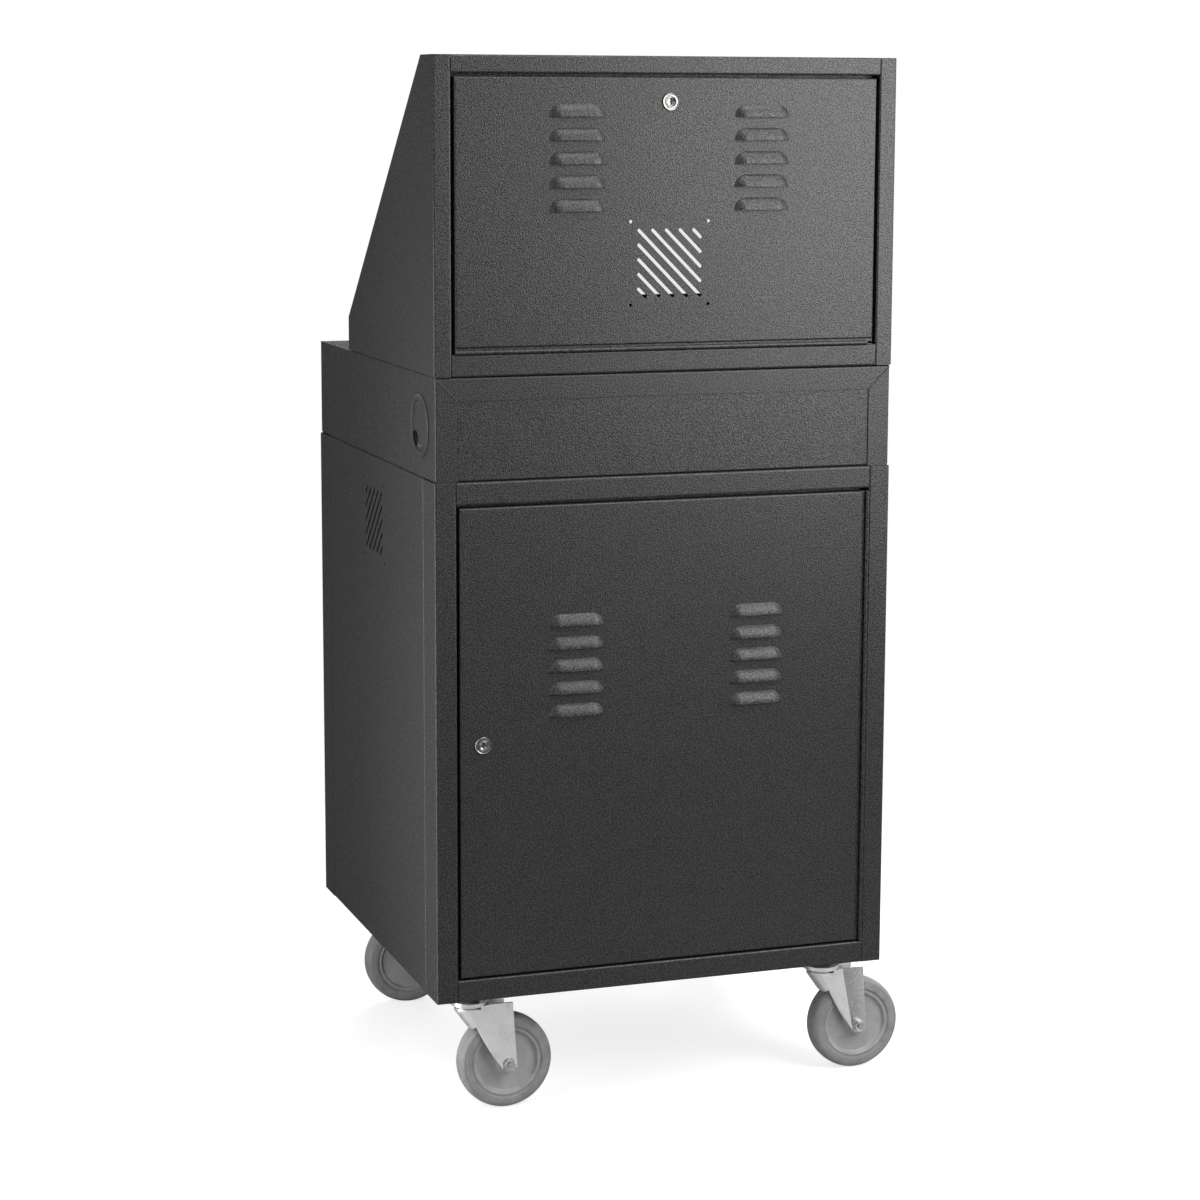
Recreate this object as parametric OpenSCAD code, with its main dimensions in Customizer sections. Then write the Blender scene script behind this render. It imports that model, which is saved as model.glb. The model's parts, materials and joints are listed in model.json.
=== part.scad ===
// Mobile computer cabinet of folded and welded steel sheet, seen in use from two sides.
// The service side, with the louvred doors, faces -Y. The operator's side, with the
// sloping window and the keyboard drawer, faces +Y. The origin lies on the floor,
// midway between the four caster swivels, and +Z is up.

/* [Cabinet] */
// Width over the side panels
cab_w = 622; // [580:2:680]
// Depth of the base, from the service face to the operator's face
cab_d = 596; // [570:2:660]
// Thickness of the steel sheet
sheet = 1.5; // [1.2:0.1:2]
// Inside radius of the folds
fold_r = 1.2; // [0.6:0.1:2]
// Shadow gap between the stacked boxes
seam = 0.4; // [0.2:0.1:0.8]

/* [Base] */
// Height of the base box
base_h = 674; // [600:2:760]
// Width of the corner posts, seen from the front
post_w = 28.5; // [24:0.5:34]
// Length by which a corner post wraps round the side
post_wrap = 55; // [45:1:70]
// Depth of the inward lips on the posts and side panels
lip = 10; // [7:0.5:14]
// Height of the rails above and below a base door
rail_h = 29; // [24:0.5:36]
// Depth of the door rebate
stop_depth = 20; // [19:0.5:24]
// Width of the door stop
stop_w = 12; // [8:0.5:15]
// Height of the turned edges of the floor and the deck
deck_flange = 35; // [32:0.5:38]
// Height of the shelf above the floor of the base
shelf_up = 330; // [200:5:420]
// Turned edge of the shelf
shelf_flange = 20; // [15:1:30]
// Gap between the shelf and the lips beside it
shelf_gap = 3; // [1:0.5:5]
// Distance of the shelf from the door rebates, which keeps it clear of the lock cams
shelf_back = 12; // [8:1:30]
// Length of a shelf clip
clip_len = 22; // [16:1:30]

/* [Middle] */
// Height of the middle box
mid_h = 132; // [120:1:150]
// Inset of the middle box on each side
mid_inset = 1.5; // [0.5:0.5:3]
// Width of its mitred rear flanges
mid_flange = 29.5; // [24:0.5:34]
// Height of the front flange above the drawer
mid_front_flange = 20; // [16:1:24]
// Turned edge of the rear panel
mid_panel_flange = 10; // [8:1:14]
// Width of the cable slot between two boxes
cable_w = 200; // [120:5:260]
// Depth of the cable slot
cable_d = 60; // [40:2:80]
// Distance of the cable slot's middle from the rear face
cable_in = 128; // [100:2:180]

/* [Upper] */
// Height of the upper box
up_h = 396; // [360:2:430]
// Depth of the upper box at its foot
up_d = 425; // [400:1:440]
// Depth of its flat top
up_top_d = 54; // [45:1:70]
// Height of the upright strip under the sloping front
up_front_h = 46; // [40:1:60]
// Width of its rear posts
up_post_w = 23.4; // [20:0.2:28]
// Length by which a rear post is turned along the side
up_wrap = 25; // [22:1:35]
// Height of the rail above the upper door
up_top_rail_h = 22.3; // [20:0.1:28]
// Height of the rail below the upper door
up_rail_h = 27.8; // [24:0.2:34]

/* [Window] */
// Turned edge of the sloping frame
window_flange = 20; // [15:1:25]
// Width of the steel border beside the opening
window_side = 58; // [45:1:70]
// Border below the opening
window_low = 39; // [30:1:75]
// Border above the opening
window_high = 56; // [50:1:75]
// Corner radius of the opening
window_r = 12; // [6:1:20]
// Thickness of the clear pane
pane_t = 4; // [3:0.5:6]
// Overlap of the pane behind the frame
pane_lap = 16; // [12:1:20]
// Width of the strips that hold the pane
strip_w = 20; // [16:1:24]
// Distance by which the strips reach past the pane's edge
strip_out = 4; // [2:0.5:6]

/* [Doors] */
// Depth of the folded door edge
door_d = 16; // [13:0.5:17]
// Gap on the latch side and above a base door
door_gap = 3.8; // [3:0.1:5]
// Gap below a base door
door_low_gap = 2.5; // [2:0.1:4]
// Gap on the hinge side of a base door, with the knuckle in it
hinge_gap = 9; // [8:0.1:10]
// Gap on both sides and above the upper door
up_door_gap = 4.2; // [3:0.1:5]
// Gap below the upper door, with the knuckle in it
up_hinge_gap = 7.6; // [7.5:0.1:9]

/* [Hinges] */
// Outside diameter of a hinge knuckle
knuckle_d = 5; // [4.6:0.1:5.4]
// Length of a knuckle
knuckle_len = 12.7; // [10:0.1:20]
// Gap between knuckles
knuckle_gap = 0.4; // [0.3:0.1:0.8]
// Diameter of the hinge pin
pin_d = 2.4; // [2:0.1:2.6]
// Radial clearance of the hinge pin
pin_clear = 0.05; // [0.02:0.01:0.1]
// Thickness of a hinge leaf
leaf_t = 1; // [0.8:0.1:1.2]
// Gap between a knuckle and the flat of the leaf behind it
neck_gap = 0.8; // [0.6:0.1:1]
// Distance of the hinge axis in front of the door face
knuckle_out = 0.5; // [0.3:0.1:0.8]

/* [Louvres] */
// Width of a louvre at its mouth
louvre_w = 74; // [60:1:90]
// Height of a louvre
louvre_h = 15.5; // [12:0.5:18]
// Distance by which the lip stands out
louvre_out = 6.5; // [4:0.5:8]
// Distance from louvre to louvre
louvre_pitch = 29.3; // [26:0.1:34]
// Louvres in a column
louvre_count = 5; // [3:1:6]
// Distance of each column from the middle of the cabinet
louvre_x = 124; // [100:1:150]
// Height of the lowest lip over the foot of the base
base_louvre_z = 367; // [340:1:390]
// Height of the lowest lip over the foot of the upper box
up_louvre_z = 204; // [200:1:210]

/* [Fan grilles] */
// Spacing of the fan screws, for a 120 mm fan
fan_pitch = 105; // [98:0.5:112]
// Diameter of the fan screw holes
fan_hole_d = 4.3; // [4:0.1:4.8]
// Size of the square that the slots fill
vent_size = 86; // [78:1:92]
// Width of a slot
vent_slot = 4.3; // [3.5:0.1:5]
// Distance from slot to slot along the top edge
vent_pitch = 18.5; // [16:0.5:20]
// Height of the upper grille's centre over the foot of the upper box
up_vent_z = 138; // [125:1:140]
// Depth of the side grille's centre below the top of the base
side_vent_down = 86; // [75:1:150]

/* [Locks] */
// Diameter of the lock bezel
bezel_d = 23; // [21:0.5:25]
// Distance by which the bezel stands out
bezel_out = 2.4; // [1.5:0.1:3.5]
// Diameter of the threaded lock body
lock_d = 19; // [18:0.5:20]
// Length of the lock body behind the door face
lock_len = 22.4; // [22:0.1:26]
// Diameter of the turning plug
plug_d = 12; // [10:0.5:13]
// Radial clearance of the plug
plug_clear = 0.05; // [0.02:0.01:0.1]
// Reach of the cam from the lock's centre
cam_len = 38; // [36:1:40]
// Distance of the lock from the edge that it locks
lock_inset = 30; // [28:0.5:32]
// Distance of the flap's lock from the flap's upper edge
flap_lock_in = 24; // [22:0.5:28]
// Width of the nut over its flats
nut_w = 22.5; // [21.5:0.5:26]
// Thickness of the nut
nut_t = 3.5; // [2.5:0.5:5]
// Thickness of the cam
cam_t = 2; // [1.5:0.1:3]
// Width of the cam
cam_w = 14; // [12:0.5:15]

/* [Grommets] */
// Diameter of the grommet's flange
grommet_d = 81; // [76:1:86]
// Diameter of the hole in the side panel
grommet_hole = 71; // [66:1:72]
// Diameter of the turning cap
grommet_cap_d = 64; // [58:1:64]
// Radius of the cable notch in the cap
notch_r = 12; // [9:0.5:14]
// Distance of the grommet from the rear face
grommet_in = 67; // [60:1:90]
// Distance by which the grommet's flange stands out
grommet_out = 2.6; // [2.2:0.1:4]
// Length of the liner behind the side panel's face
liner_len = 16; // [10:1:24]
// Thickness of the turning cap
cap_t = 3; // [2.5:0.1:4]

/* [Drawer] */
// Depth of the tray
tray_d = 440; // [380:5:470]
// Height of the tray's sides
tray_h = 38; // [30:1:44]
// Height of the tray's floor over the deck
tray_up = 24; // [18:1:30]
// Height of a slide's fixed member
slide_h = 40; // [34:1:44]
// Depth of a slide's legs
slide_leg = 10; // [8:0.5:12]
// Thickness of the slide sheet
slide_t = 1.2; // [1:0.1:1.5]
// Clearance between the slide's members
slide_clear = 0.5; // [0.4:0.1:0.8]
// Depth of the flap's turned edge
flap_d = 15; // [13:0.5:18]
// Gap beside and above the flap
flap_gap = 2; // [1.5:0.1:3]
// Gap below the flap, in which its lower edge turns
flap_low_gap = 3; // [2.8:0.1:5]
// Height of the flap's pivot over its lower edge
pivot_up = 8; // [7:0.5:10]
// Diameter of the flap's pivot studs
pivot_d = 6; // [5:0.5:7]

/* [Casters] */
// Height of the base over the floor
caster_h = 165; // [163:1:175]
// Diameter of the wheels
wheel_d = 127; // [120:1:130]
// Width of the wheels
wheel_w = 32; // [28:1:34]
// Trail of the axle behind the swivel
trail = 47; // [44:1:50]
// Distance of the swivels from the sides of the cabinet
swivel_in_x = 60.5; // [58:0.5:80]
// Distance of the swivels from the faces of the cabinet
swivel_in_y = 60; // [58:0.5:80]
// Length of the mounting plate
plate_l = 100; // [95:1:110]
// Width of the mounting plate
plate_b = 84; // [80:1:95]
// Thickness of the mounting plate
plate_t = 3; // [2.5:0.5:4]
// Bolt spacing along the plate
bolt_l = 80; // [75:1:84]
// Bolt spacing across the plate
bolt_b = 56; // [50:1:66]
// Diameter of the mounting bolts
bolt_d = 8; // [6:0.5:9]
// Diameter of the axle bolt
axle_d = 8; // [6:0.5:10]
// Thickness of the fork's stamped steel
fork_t = 3; // [2.5:0.5:3.5]
// Gap between the hub and the fork on each side
hub_gap = 1; // [0.6:0.1:1.5]
// Width of the fork's legs at the axle
leg_w = 20; // [18:0.5:24]
// Distance by which the middle of a leg's end lies behind the axle
leg_back = 2; // [0:0.5:3]
// Distance of the legs' upright crease from the swivel's axis
leg_in = 22.5; // [21:0.5:25]
// Distance of the legs' rear upper corner from the swivel's axis
leg_out = 53; // [48:0.5:56]
// Height of the legs' upper edge over the crown
leg_up = 9; // [8:0.5:11]
// Radius of the rim of the fork's bowl
crown_r = 25; // [24:0.5:28]
// Distance of the crown below the mounting plate
crown_down = 25; // [24:0.5:27]
// Radius of the swivel pin
king_r = 6; // [5:0.5:7]
// Depth of the tyre between tread and rim
tyre_t = 17.5; // [14:0.5:20]
// Half thickness of the wheel's sunk web
web_half = 9; // [6:0.5:11]

/* [Hidden] */

// A length that reaches past any sheet when a shape is cut through
past = 1;
// Clearance of parts that are fitted but don't move
fit = 0.2;
// Number of sides of the small rounded folds and holes
fold_fn = 24;
round_fn = 64;

// Levels of the stacked boxes
base_z = caster_h;
mid_z = base_z + base_h;
up_z = mid_z + mid_h;
half_w = cab_w / 2;
half_d = cab_d / 2;
mid_body_h = mid_h - 2 * seam;
mid_w = cab_w - 2 * mid_inset;
mid_d = cab_d - 2 * mid_inset;
deck_w = cab_w - 2 * lip;
deck_d = cab_d - 2 * stop_depth;
shelf_w = deck_w - 2 * shelf_gap;
shelf_d = deck_d - 2 * shelf_back;
shelf_z = base_z + shelf_up;

cable_y = -half_d + cable_in;

// Base door: width, height and foot, between the posts and rails
door_w = cab_w - 2 * post_w - door_gap - hinge_gap;
door_h = base_h - 2 * rail_h - door_gap - door_low_gap;
door_x = -half_w + post_w + door_gap;
door_z = base_z + rail_h + door_low_gap;
hinge_x = half_w - post_w - knuckle_d / 2;
hinge_y = -half_d - knuckle_out;

// Upper door, hinged along its foot
up_door_w = cab_w - 2 * up_post_w - 2 * up_door_gap;
up_door_h = up_h - up_rail_h - up_top_rail_h - up_hinge_gap - up_door_gap;
up_door_z = up_z + seam + up_rail_h + up_hinge_gap;
up_hinge_z = up_z + seam + up_rail_h + knuckle_d / 2;

// Sloping front: its foot, its rise and its lean
slope_y = -half_d + up_d;
slope_z = up_z + seam + up_front_h;
slope_run = up_d - up_top_d;
slope_rise = up_h - up_front_h;
slope_len = sqrt(slope_run * slope_run + slope_rise * slope_rise);
slope_lean = atan2(slope_run, slope_rise);
// Gap between the sloping frame's foot and the upright strip below it
slope_gap = 0.8;
window_w = cab_w - 2 * sheet - 2 * fit;
opening_w = window_w - 2 * window_side;
opening_h = slope_len - window_low - window_high;

// Radius of the ball and the bar from which a louvre's curve is cut
louvre_ball = (louvre_h * louvre_h + louvre_out * louvre_out) / (2 * louvre_out);
// Distance of a hinge leaf's flat behind the hinge axis
neck = knuckle_d / 2 + neck_gap;

// Locks: places on the doors
lock_z = door_z + door_h / 2;
lock_x = door_x + lock_inset;
up_lock_z = up_door_z + up_door_h - lock_inset;
// The plug's tail, on which the cam sits, and its keyway
tail_d = plug_d - 4;
key_w = 1.8;
key_h = 7.6;
key_depth = 4;

// Grommets
grommet_y = -half_d + mid_inset + grommet_in;
grommet_z = mid_z + mid_h / 2;
// Height of the cap's outer face over the panel's face
grommet_seat = 2;

// Drawer
side_x = mid_w / 2 - sheet;
deck_z = mid_z + seam;
tray_z = deck_z + tray_up;
tray_w = 2 * (side_x - slide_leg - slide_t - slide_clear);
slide_z = tray_z + sheet + (tray_h - slide_h) / 2;
slide_end = half_d - mid_inset - flap_d - fit;
slide_step = slide_t + slide_clear;
flap_w = 2 * (side_x - flap_gap);
flap_z = deck_z + flap_low_gap;
flap_h = mid_body_h - mid_front_flange - flap_gap - flap_low_gap;
flap_y = half_d - mid_inset;
pivot_y = flap_y - flap_d / 2;
pivot_z = flap_z + pivot_up;
flap_lock_z = flap_z + flap_h - flap_lock_in;

// Casters
swivel_x = half_w - swivel_in_x;
swivel_y = half_d - swivel_in_y;
axle_z = wheel_d / 2;
hub_w = wheel_w + 4;
fork_in = hub_w / 2 + hub_gap;
fork_out = fork_in + fork_t;
crown_z = caster_h - plate_t - crown_down;
race_r = crown_r - 11;
rim_r = wheel_d / 2 - tyre_t;
run = 0.05;

// Colours
black = [0.13, 0.13, 0.135];
zinc = [0.75, 0.76, 0.77];
grey = [0.5, 0.5, 0.5];
light_grey = [0.58, 0.58, 0.58];
plastic = [0.06, 0.06, 0.06];
clear = [0.8, 0.85, 0.88, 0.3];

// Flat sections

// Rectangle with round corners, from corner a to corner b
module round_rect(a, b, r) {
    translate([a.x + r, a.y]) square([b.x - a.x - 2 * r, b.y - a.y]);
    translate([a.x, a.y + r]) square([b.x - a.x, b.y - a.y - 2 * r]);
    for (x = [a.x + r, b.x - r], y = [a.y + r, b.y - r])
        translate([x, y]) circle(r, $fn = fold_fn);
}

// Closed folded section, from which each channel keeps what it needs
module folded_ring(a, b) {
    difference() {
        round_rect(a, b, fold_r + sheet);
        round_rect(a + [sheet, sheet], b - [sheet, sheet], fold_r);
    }
}

// Channel with its web on x = 0, one leg at y = 0 and one at y = d
module channel(d, leg_a, leg_b) {
    spare = max(leg_a, leg_b) + 4 * (fold_r + sheet);
    difference() {
        folded_ring([0, 0], [spare, d]);
        translate([leg_a, -past]) square([spare, d / 2 + past]);
        translate([leg_b, d / 2]) square([spare, d / 2 + past]);
    }
}

// Corner post: its face on y = 0 and its outer side on x = 0
module post_section(w, wrap, inner) {
    difference() {
        folded_ring([0, 0], [w, wrap]);
        translate([inner, stop_depth]) square([w, wrap]);
    }
}

// Rail: x is the depth behind the face and y the height over the door's edge
module rail_section(h) {
    difference() {
        folded_ring([0, 0], [stop_depth, h]);
        translate([stop_depth - sheet - fold_r, sheet]) square([stop_depth, h]);
    }
    translate([stop_depth - sheet, -stop_w]) square([sheet, stop_w + sheet]);
}

// Extrudes a section of depth and height along X
module along_x(len) {
    rotate([90, 0, 90]) linear_extrude(len) children();
}

// Section with its two front corners rounded
module nose(w, d, r) {
    translate([0, r]) square([w, d - r]);
    translate([r, 0]) square([w - 2 * r, d]);
    for (x = [r, w - r]) translate([x, r]) circle(r, $fn = fold_fn);
}

// Block whose four front edges are rounded
module nose_block(w, h, d, r) {
    intersection() {
        linear_extrude(h) nose(w, d, r);
        along_x(w) rotate(90) mirror([0, 1, 0]) nose(h, d, r);
    }
}

// Sheet with all four edges turned back: its face is on y = 0 and its edges run to y = d
module pan(w, h, d) {
    difference() {
        nose_block(w, h, d, fold_r + sheet);
        translate([sheet, sheet, sheet])
            nose_block(w - 2 * sheet, h - 2 * sheet, d, fold_r);
    }
}

// Straight cylinder along +Y
module bar_y(d, len, fn = round_fn) {
    rotate([-90, 0, 0]) cylinder(d = d, h = len, $fn = fn);
}

// Fan grille: slots that fall from the upper left to the lower right, and the fan's screw holes
module vent_cut() {
    steps = floor((vent_size - 2 * vent_slot) / vent_pitch);
    for (k = [-steps : steps]) {
        slot_len = (vent_size - abs(k) * vent_pitch) * sqrt(2) - vent_slot;
        translate([k, k] * vent_pitch / 2) rotate(-45) {
            square([slot_len, vent_slot], center = true);
            for (s = [-1, 1]) translate([s * slot_len / 2, 0]) circle(d = vent_slot, $fn = 16);
        }
    }
    for (x = [-1, 1], y = [-1, 1])
        translate([x, y] * fan_pitch / 2) circle(d = fan_hole_d, $fn = fold_fn);
}

// Cuts a flat shape of X and Z through the sheet on y = 0
module through_face() {
    translate([0, sheet + past, 0]) rotate([90, 0, 0]) linear_extrude(sheet + 2 * past) children();
}

// Louvres

// Pressed hood: a length of round bar with a quarter ball at each end, cut at the lip
module hood(ball, low, back) {
    reach = louvre_w / 2 - louvre_h;
    centre_y = louvre_ball - louvre_out;
    side = 2 * louvre_h;
    intersection() {
        translate([-reach, centre_y, 0]) rotate([0, 90, 0])
            cylinder(r = ball, h = 2 * reach, $fn = 2 * round_fn);
        translate([-reach, -side, low]) cube([2 * reach, side + back, side]);
    }
    for (s = [0, 1]) mirror([s, 0, 0]) intersection() {
        translate([reach, centre_y, 0]) sphere(ball, $fn = 2 * round_fn);
        translate([reach, -side, low]) cube([side, side + back, side]);
    }
}

module louvre_places(first_z) {
    for (s = [-1, 1], k = [0 : louvre_count - 1])
        translate([s * louvre_x, 0, first_z + k * louvre_pitch]) children();
}

// Adds louvres to a door sheet whose face is on y = 0
module louvred(first_z) {
    difference() {
        union() {
            children();
            louvre_places(first_z) hood(louvre_ball, 0, sheet / 2);
        }
        louvre_places(first_z) hood(louvre_ball - sheet, 0, sheet + past);
    }
}

// Hinges: the axis is local Z, the frame lies at +X and the door at -X

module knuckles(len, phase) {
    count = floor(len / knuckle_len);
    difference() {
        cylinder(d = knuckle_d, h = count * knuckle_len, $fn = fold_fn);
        translate([0, 0, -past])
            cylinder(r = pin_d / 2 + pin_clear, h = count * knuckle_len + 2 * past, $fn = fold_fn);
        for (k = [-1 : count]) if ((k + phase + 2) % 2 == 1)
            translate([-knuckle_d, -knuckle_d, k * knuckle_len - knuckle_gap / 2])
                cube([2 * knuckle_d, 2 * knuckle_d, knuckle_len + knuckle_gap]);
    }
}

// Strip beside the knuckles, cut back where the other leaf's knuckles turn
module leaf_neck(len, phase, reach) {
    count = floor(len / knuckle_len);
    bore_side = pin_d / 2 + pin_clear + fit;
    for (k = [0 : count - 1]) if ((k + phase) % 2 == 0)
        translate([bore_side, 0, k * knuckle_len + knuckle_gap / 2])
            cube([knuckle_d / 2 - bore_side, reach, knuckle_len - knuckle_gap]);
}

module frame_leaf(len) {
    knuckles(len, 0);
    leaf_neck(len, 0, neck + past);
    translate([knuckle_d / 2 - leaf_t, neck, 0])
        cube([leaf_t, stop_depth - sheet - neck, len]);
}

module door_leaf(len, gap) {
    reach = gap - knuckle_d / 2;
    knuckles(len, 1);
    mirror([1, 0, 0]) {
        leaf_neck(len, 1, neck + leaf_t);
        translate([knuckle_d / 2 - leaf_t, neck, 0]) cube([reach - knuckle_d / 2 + leaf_t, leaf_t, len]);
        translate([reach - leaf_t, neck, 0]) cube([leaf_t, door_d - neck - past, len]);
    }
}

module hinge_pin(len) {
    cylinder(d = pin_d, h = floor(len / knuckle_len) * knuckle_len, $fn = fold_fn);
}

// Places of the three hinges
module at_rear_hinge() { translate([hinge_x, hinge_y, door_z]) children(); }
module at_front_hinge() { rotate([0, 0, 180]) at_rear_hinge() children(); }
module at_upper_hinge() {
    translate([-up_door_w / 2, hinge_y, up_hinge_z]) rotate([0, 90, 0]) children();
}

// Locks: the axis is local Y, with the door face on y = 0

module lock_body() {
    rotate([-90, 0, 0]) difference() {
        rotate_extrude($fn = round_fn) {
            polygon([[0, -bezel_out], [bezel_d / 2 - 2, -bezel_out], [bezel_d / 2 - 0.6, 1 - bezel_out],
                [bezel_d / 2, 0], [lock_d / 2, 0], [lock_d / 2, lock_len], [0, lock_len]]);
        }
        translate([0, 0, -bezel_out - past])
            cylinder(r = plug_d / 2 + plug_clear, h = lock_len + bezel_out + 2 * past, $fn = round_fn);
    }
    translate([0, sheet, 0]) difference() {
        bar_y(nut_w / cos(30), nut_t, 6);
        translate([0, -past, 0]) bar_y(lock_d + fit, nut_t + 2 * past);
    }
}

// Plug with its keyway, and the cam on its tail; the cam points along the given angle
module lock_plug(angle) {
    front_y = -bezel_out - 0.3;
    difference() {
        union() {
            translate([0, front_y, 0]) bar_y(plug_d, lock_len + fit - front_y);
            translate([0, lock_len, 0]) bar_y(tail_d, cam_t + 1.5);
        }
        translate([-key_w / 2, front_y - past, -key_h / 2]) cube([key_w, key_depth + past, key_h]);
    }
    translate([0, lock_len + fit + run, 0]) rotate([0, angle, 0]) difference() {
        union() {
            bar_y(cam_w, cam_t);
            translate([0, 0, -cam_w / 2]) cube([cam_len, cam_t, cam_w]);
        }
        translate([0, -past, 0]) bar_y(tail_d + 2 * run, cam_t + 2 * past);
    }
}

module at_rear_lock() { translate([lock_x, -half_d, lock_z]) children(); }
module at_front_lock() { rotate([0, 0, 180]) at_rear_lock() children(); }
module at_upper_lock() { translate([0, -half_d, up_lock_z]) children(); }
module at_flap_lock() { translate([0, flap_y, flap_lock_z]) rotate([0, 0, 180]) children(); }
module lock_hole() { translate([0, -past, 0]) bar_y(lock_d + fit, sheet + 2 * past); }

// Base box

module both_sides() { children(); mirror([1, 0, 0]) children(); }
module both_faces() { children(); mirror([0, 1, 0]) children(); }

module base_side() {
    side_d = cab_d - 2 * post_wrap;
    translate([-half_w, side_d / 2, base_z]) rotate([0, 0, -90]) difference() {
        pan(side_d, base_h, lip);
        translate([side_d / 2, 0, base_h - side_vent_down]) mirror([1, 0, 0]) through_face() vent_cut();
    }
}
module base_left_side() { color(black) base_side(); }
module base_right_side() { color(black) mirror([1, 0, 0]) base_side(); }

// Pair of corner posts on the service face, each with its door stop
module post_pair() {
    both_sides() translate([-half_w, -half_d, base_z]) {
        linear_extrude(base_h) post_section(post_w, post_wrap, lip);
        translate([post_w - sheet, stop_depth - sheet, rail_h + stop_w + fit])
            cube([stop_w + sheet, sheet, base_h - 2 * (rail_h + stop_w + fit)]);
    }
}
module base_rear_posts() { color(black) post_pair(); }
module base_front_posts() { color(black) mirror([0, 1, 0]) post_pair(); }

// Rails above and below the door, butted between the posts
module rail_pair() {
    rail_len = cab_w - 2 * post_w;
    translate([-rail_len / 2, -half_d, mid_z - rail_h]) along_x(rail_len) rail_section(rail_h);
    translate([-rail_len / 2, -half_d, base_z + rail_h]) mirror([0, 0, 1])
        along_x(rail_len) rail_section(rail_h);
}
module base_rear_rails() { color(black) rail_pair(); }
module base_front_rails() { color(black) mirror([0, 1, 0]) rail_pair(); }

// Level sheets, centred, with the face on z = 0 and the edges turned up or down
module floor_pan(w, d, flange) { translate([-w / 2, d / 2, 0]) rotate([90, 0, 0]) pan(w, d, flange); }
module deck_pan(w, d, flange) { translate([-w / 2, -d / 2, 0]) rotate([-90, 0, 0]) pan(w, d, flange); }

// Slot with round corners, for the cables between two boxes
module cable_slot() {
    translate([-cable_w / 2, cable_y - cable_d / 2, -past - sheet])
        linear_extrude(sheet + 2 * past) round_rect([0, 0], [cable_w, cable_d], 15);
}
module swivel_places() {
    for (x = [-swivel_x, swivel_x], y = [-swivel_y, swivel_y]) translate([x, y, 0]) children();
}
module bolt_places() {
    for (x = [-bolt_l / 2, bolt_l / 2], y = [-bolt_b / 2, bolt_b / 2]) translate([x, y, 0]) children();
}

module base_floor() {
    color(black) difference() {
        translate([0, 0, base_z]) floor_pan(deck_w, deck_d, deck_flange);
        swivel_places() bolt_places() translate([0, 0, base_z - past])
            cylinder(d = bolt_d + 2 * fit, h = sheet + 2 * past, $fn = fold_fn);
    }
}
module base_top() {
    color(black) translate([0, 0, mid_z]) difference() {
        deck_pan(deck_w, deck_d, deck_flange);
        cable_slot();
    }
}

module shelf() { color(black) translate([0, 0, shelf_z]) deck_pan(shelf_w, shelf_d, shelf_flange); }

// Clips on the side panels' inner lips: a tab against the lip and a foot under the shelf
module shelf_clips() {
    lip_y = half_d - post_wrap - sheet;
    foot_z = shelf_z - shelf_flange - sheet;
    color(zinc) both_sides() both_faces() {
        translate([-half_w + sheet + fold_r, lip_y - clip_len, foot_z])
            cube([lip + 2 * shelf_gap - fold_r, clip_len, sheet]);
        translate([-half_w + sheet + fold_r, lip_y - sheet, foot_z + sheet])
            cube([lip - sheet - fold_r, sheet, clip_len]);
    }
}

// Middle box

// Cuts a flange at 45 degrees: what is left lies below the line that rises to the corner
module mitre_cut(gap) {
    size = 2 * mid_flange;
    translate([0, sheet + fold_r + past, 0]) rotate([90, 0, 0]) linear_extrude(sheet + fold_r + 2 * past)
        polygon([[gap, 0], [size, -size + gap], [size, 0]]);
}

module mid_side() {
    difference() {
        translate([-mid_w / 2, -mid_d / 2, deck_z]) difference() {
            union() {
                linear_extrude(mid_body_h - sheet) channel(mid_d, mid_flange, sheet);
                linear_extrude(mid_body_h) intersection() {
                    channel(mid_d, mid_flange, sheet);
                    square([mid_flange, sheet]);
                }
            }
            translate([0, 0, mid_body_h]) mitre_cut(0);
        }
        translate([-mid_w / 2 - past, grommet_y, grommet_z]) rotate([0, 90, 0])
            cylinder(d = grommet_hole, h = sheet + 2 * past, $fn = round_fn);
    }
}
module mid_left_side() { color(black) mid_side(); }
module mid_right_side() { color(black) mirror([1, 0, 0]) mid_side(); }

// Rear panel, spot welded behind the flanges
module mid_rear_panel() {
    w = mid_w - 2 * (sheet + fit);
    color(black) translate([-w / 2, -mid_d / 2 + sheet, deck_z])
        pan(w, mid_body_h - sheet - fit, mid_panel_flange);
}

module mid_top() {
    gap = 0.3;
    color(black) difference() {
        translate([-mid_w / 2, -mid_d / 2, up_z - seam]) difference() {
            rotate([0, 90, 0]) linear_extrude(mid_w) channel(mid_d, mid_flange, mid_front_flange);
            for (s = [0, 1]) translate([s * mid_w, 0, 0]) mirror([s, 0, 0]) {
                translate([-past, -past, -mid_flange - past])
                    cube([gap + past, sheet + past, mid_flange + past]);
                translate([0, sheet + fold_r, 0]) rotate([90, 0, 0])
                    linear_extrude(sheet + fold_r + past)
                    polygon([[-past, gap + past], [mid_flange + past, gap - mid_flange - past],
                        [-past, gap - mid_flange - past]]);
                translate([-past, mid_d - fold_r - sheet, -mid_front_flange - past])
                    cube([sheet + fit + past, fold_r + sheet + past, mid_front_flange + past - sheet]);
            }
        }
        translate([0, 0, up_z - seam]) cable_slot();
    }
    // Shelf of the front flange, behind which the flap's cam locks
    catch_w = mid_w - 2 * (sheet + fit);
    color(black) translate([-catch_w / 2, flap_y - lock_len, up_z - seam - mid_front_flange])
        cube([catch_w, lock_len - sheet / 2, sheet]);
}

// Upper box

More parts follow.
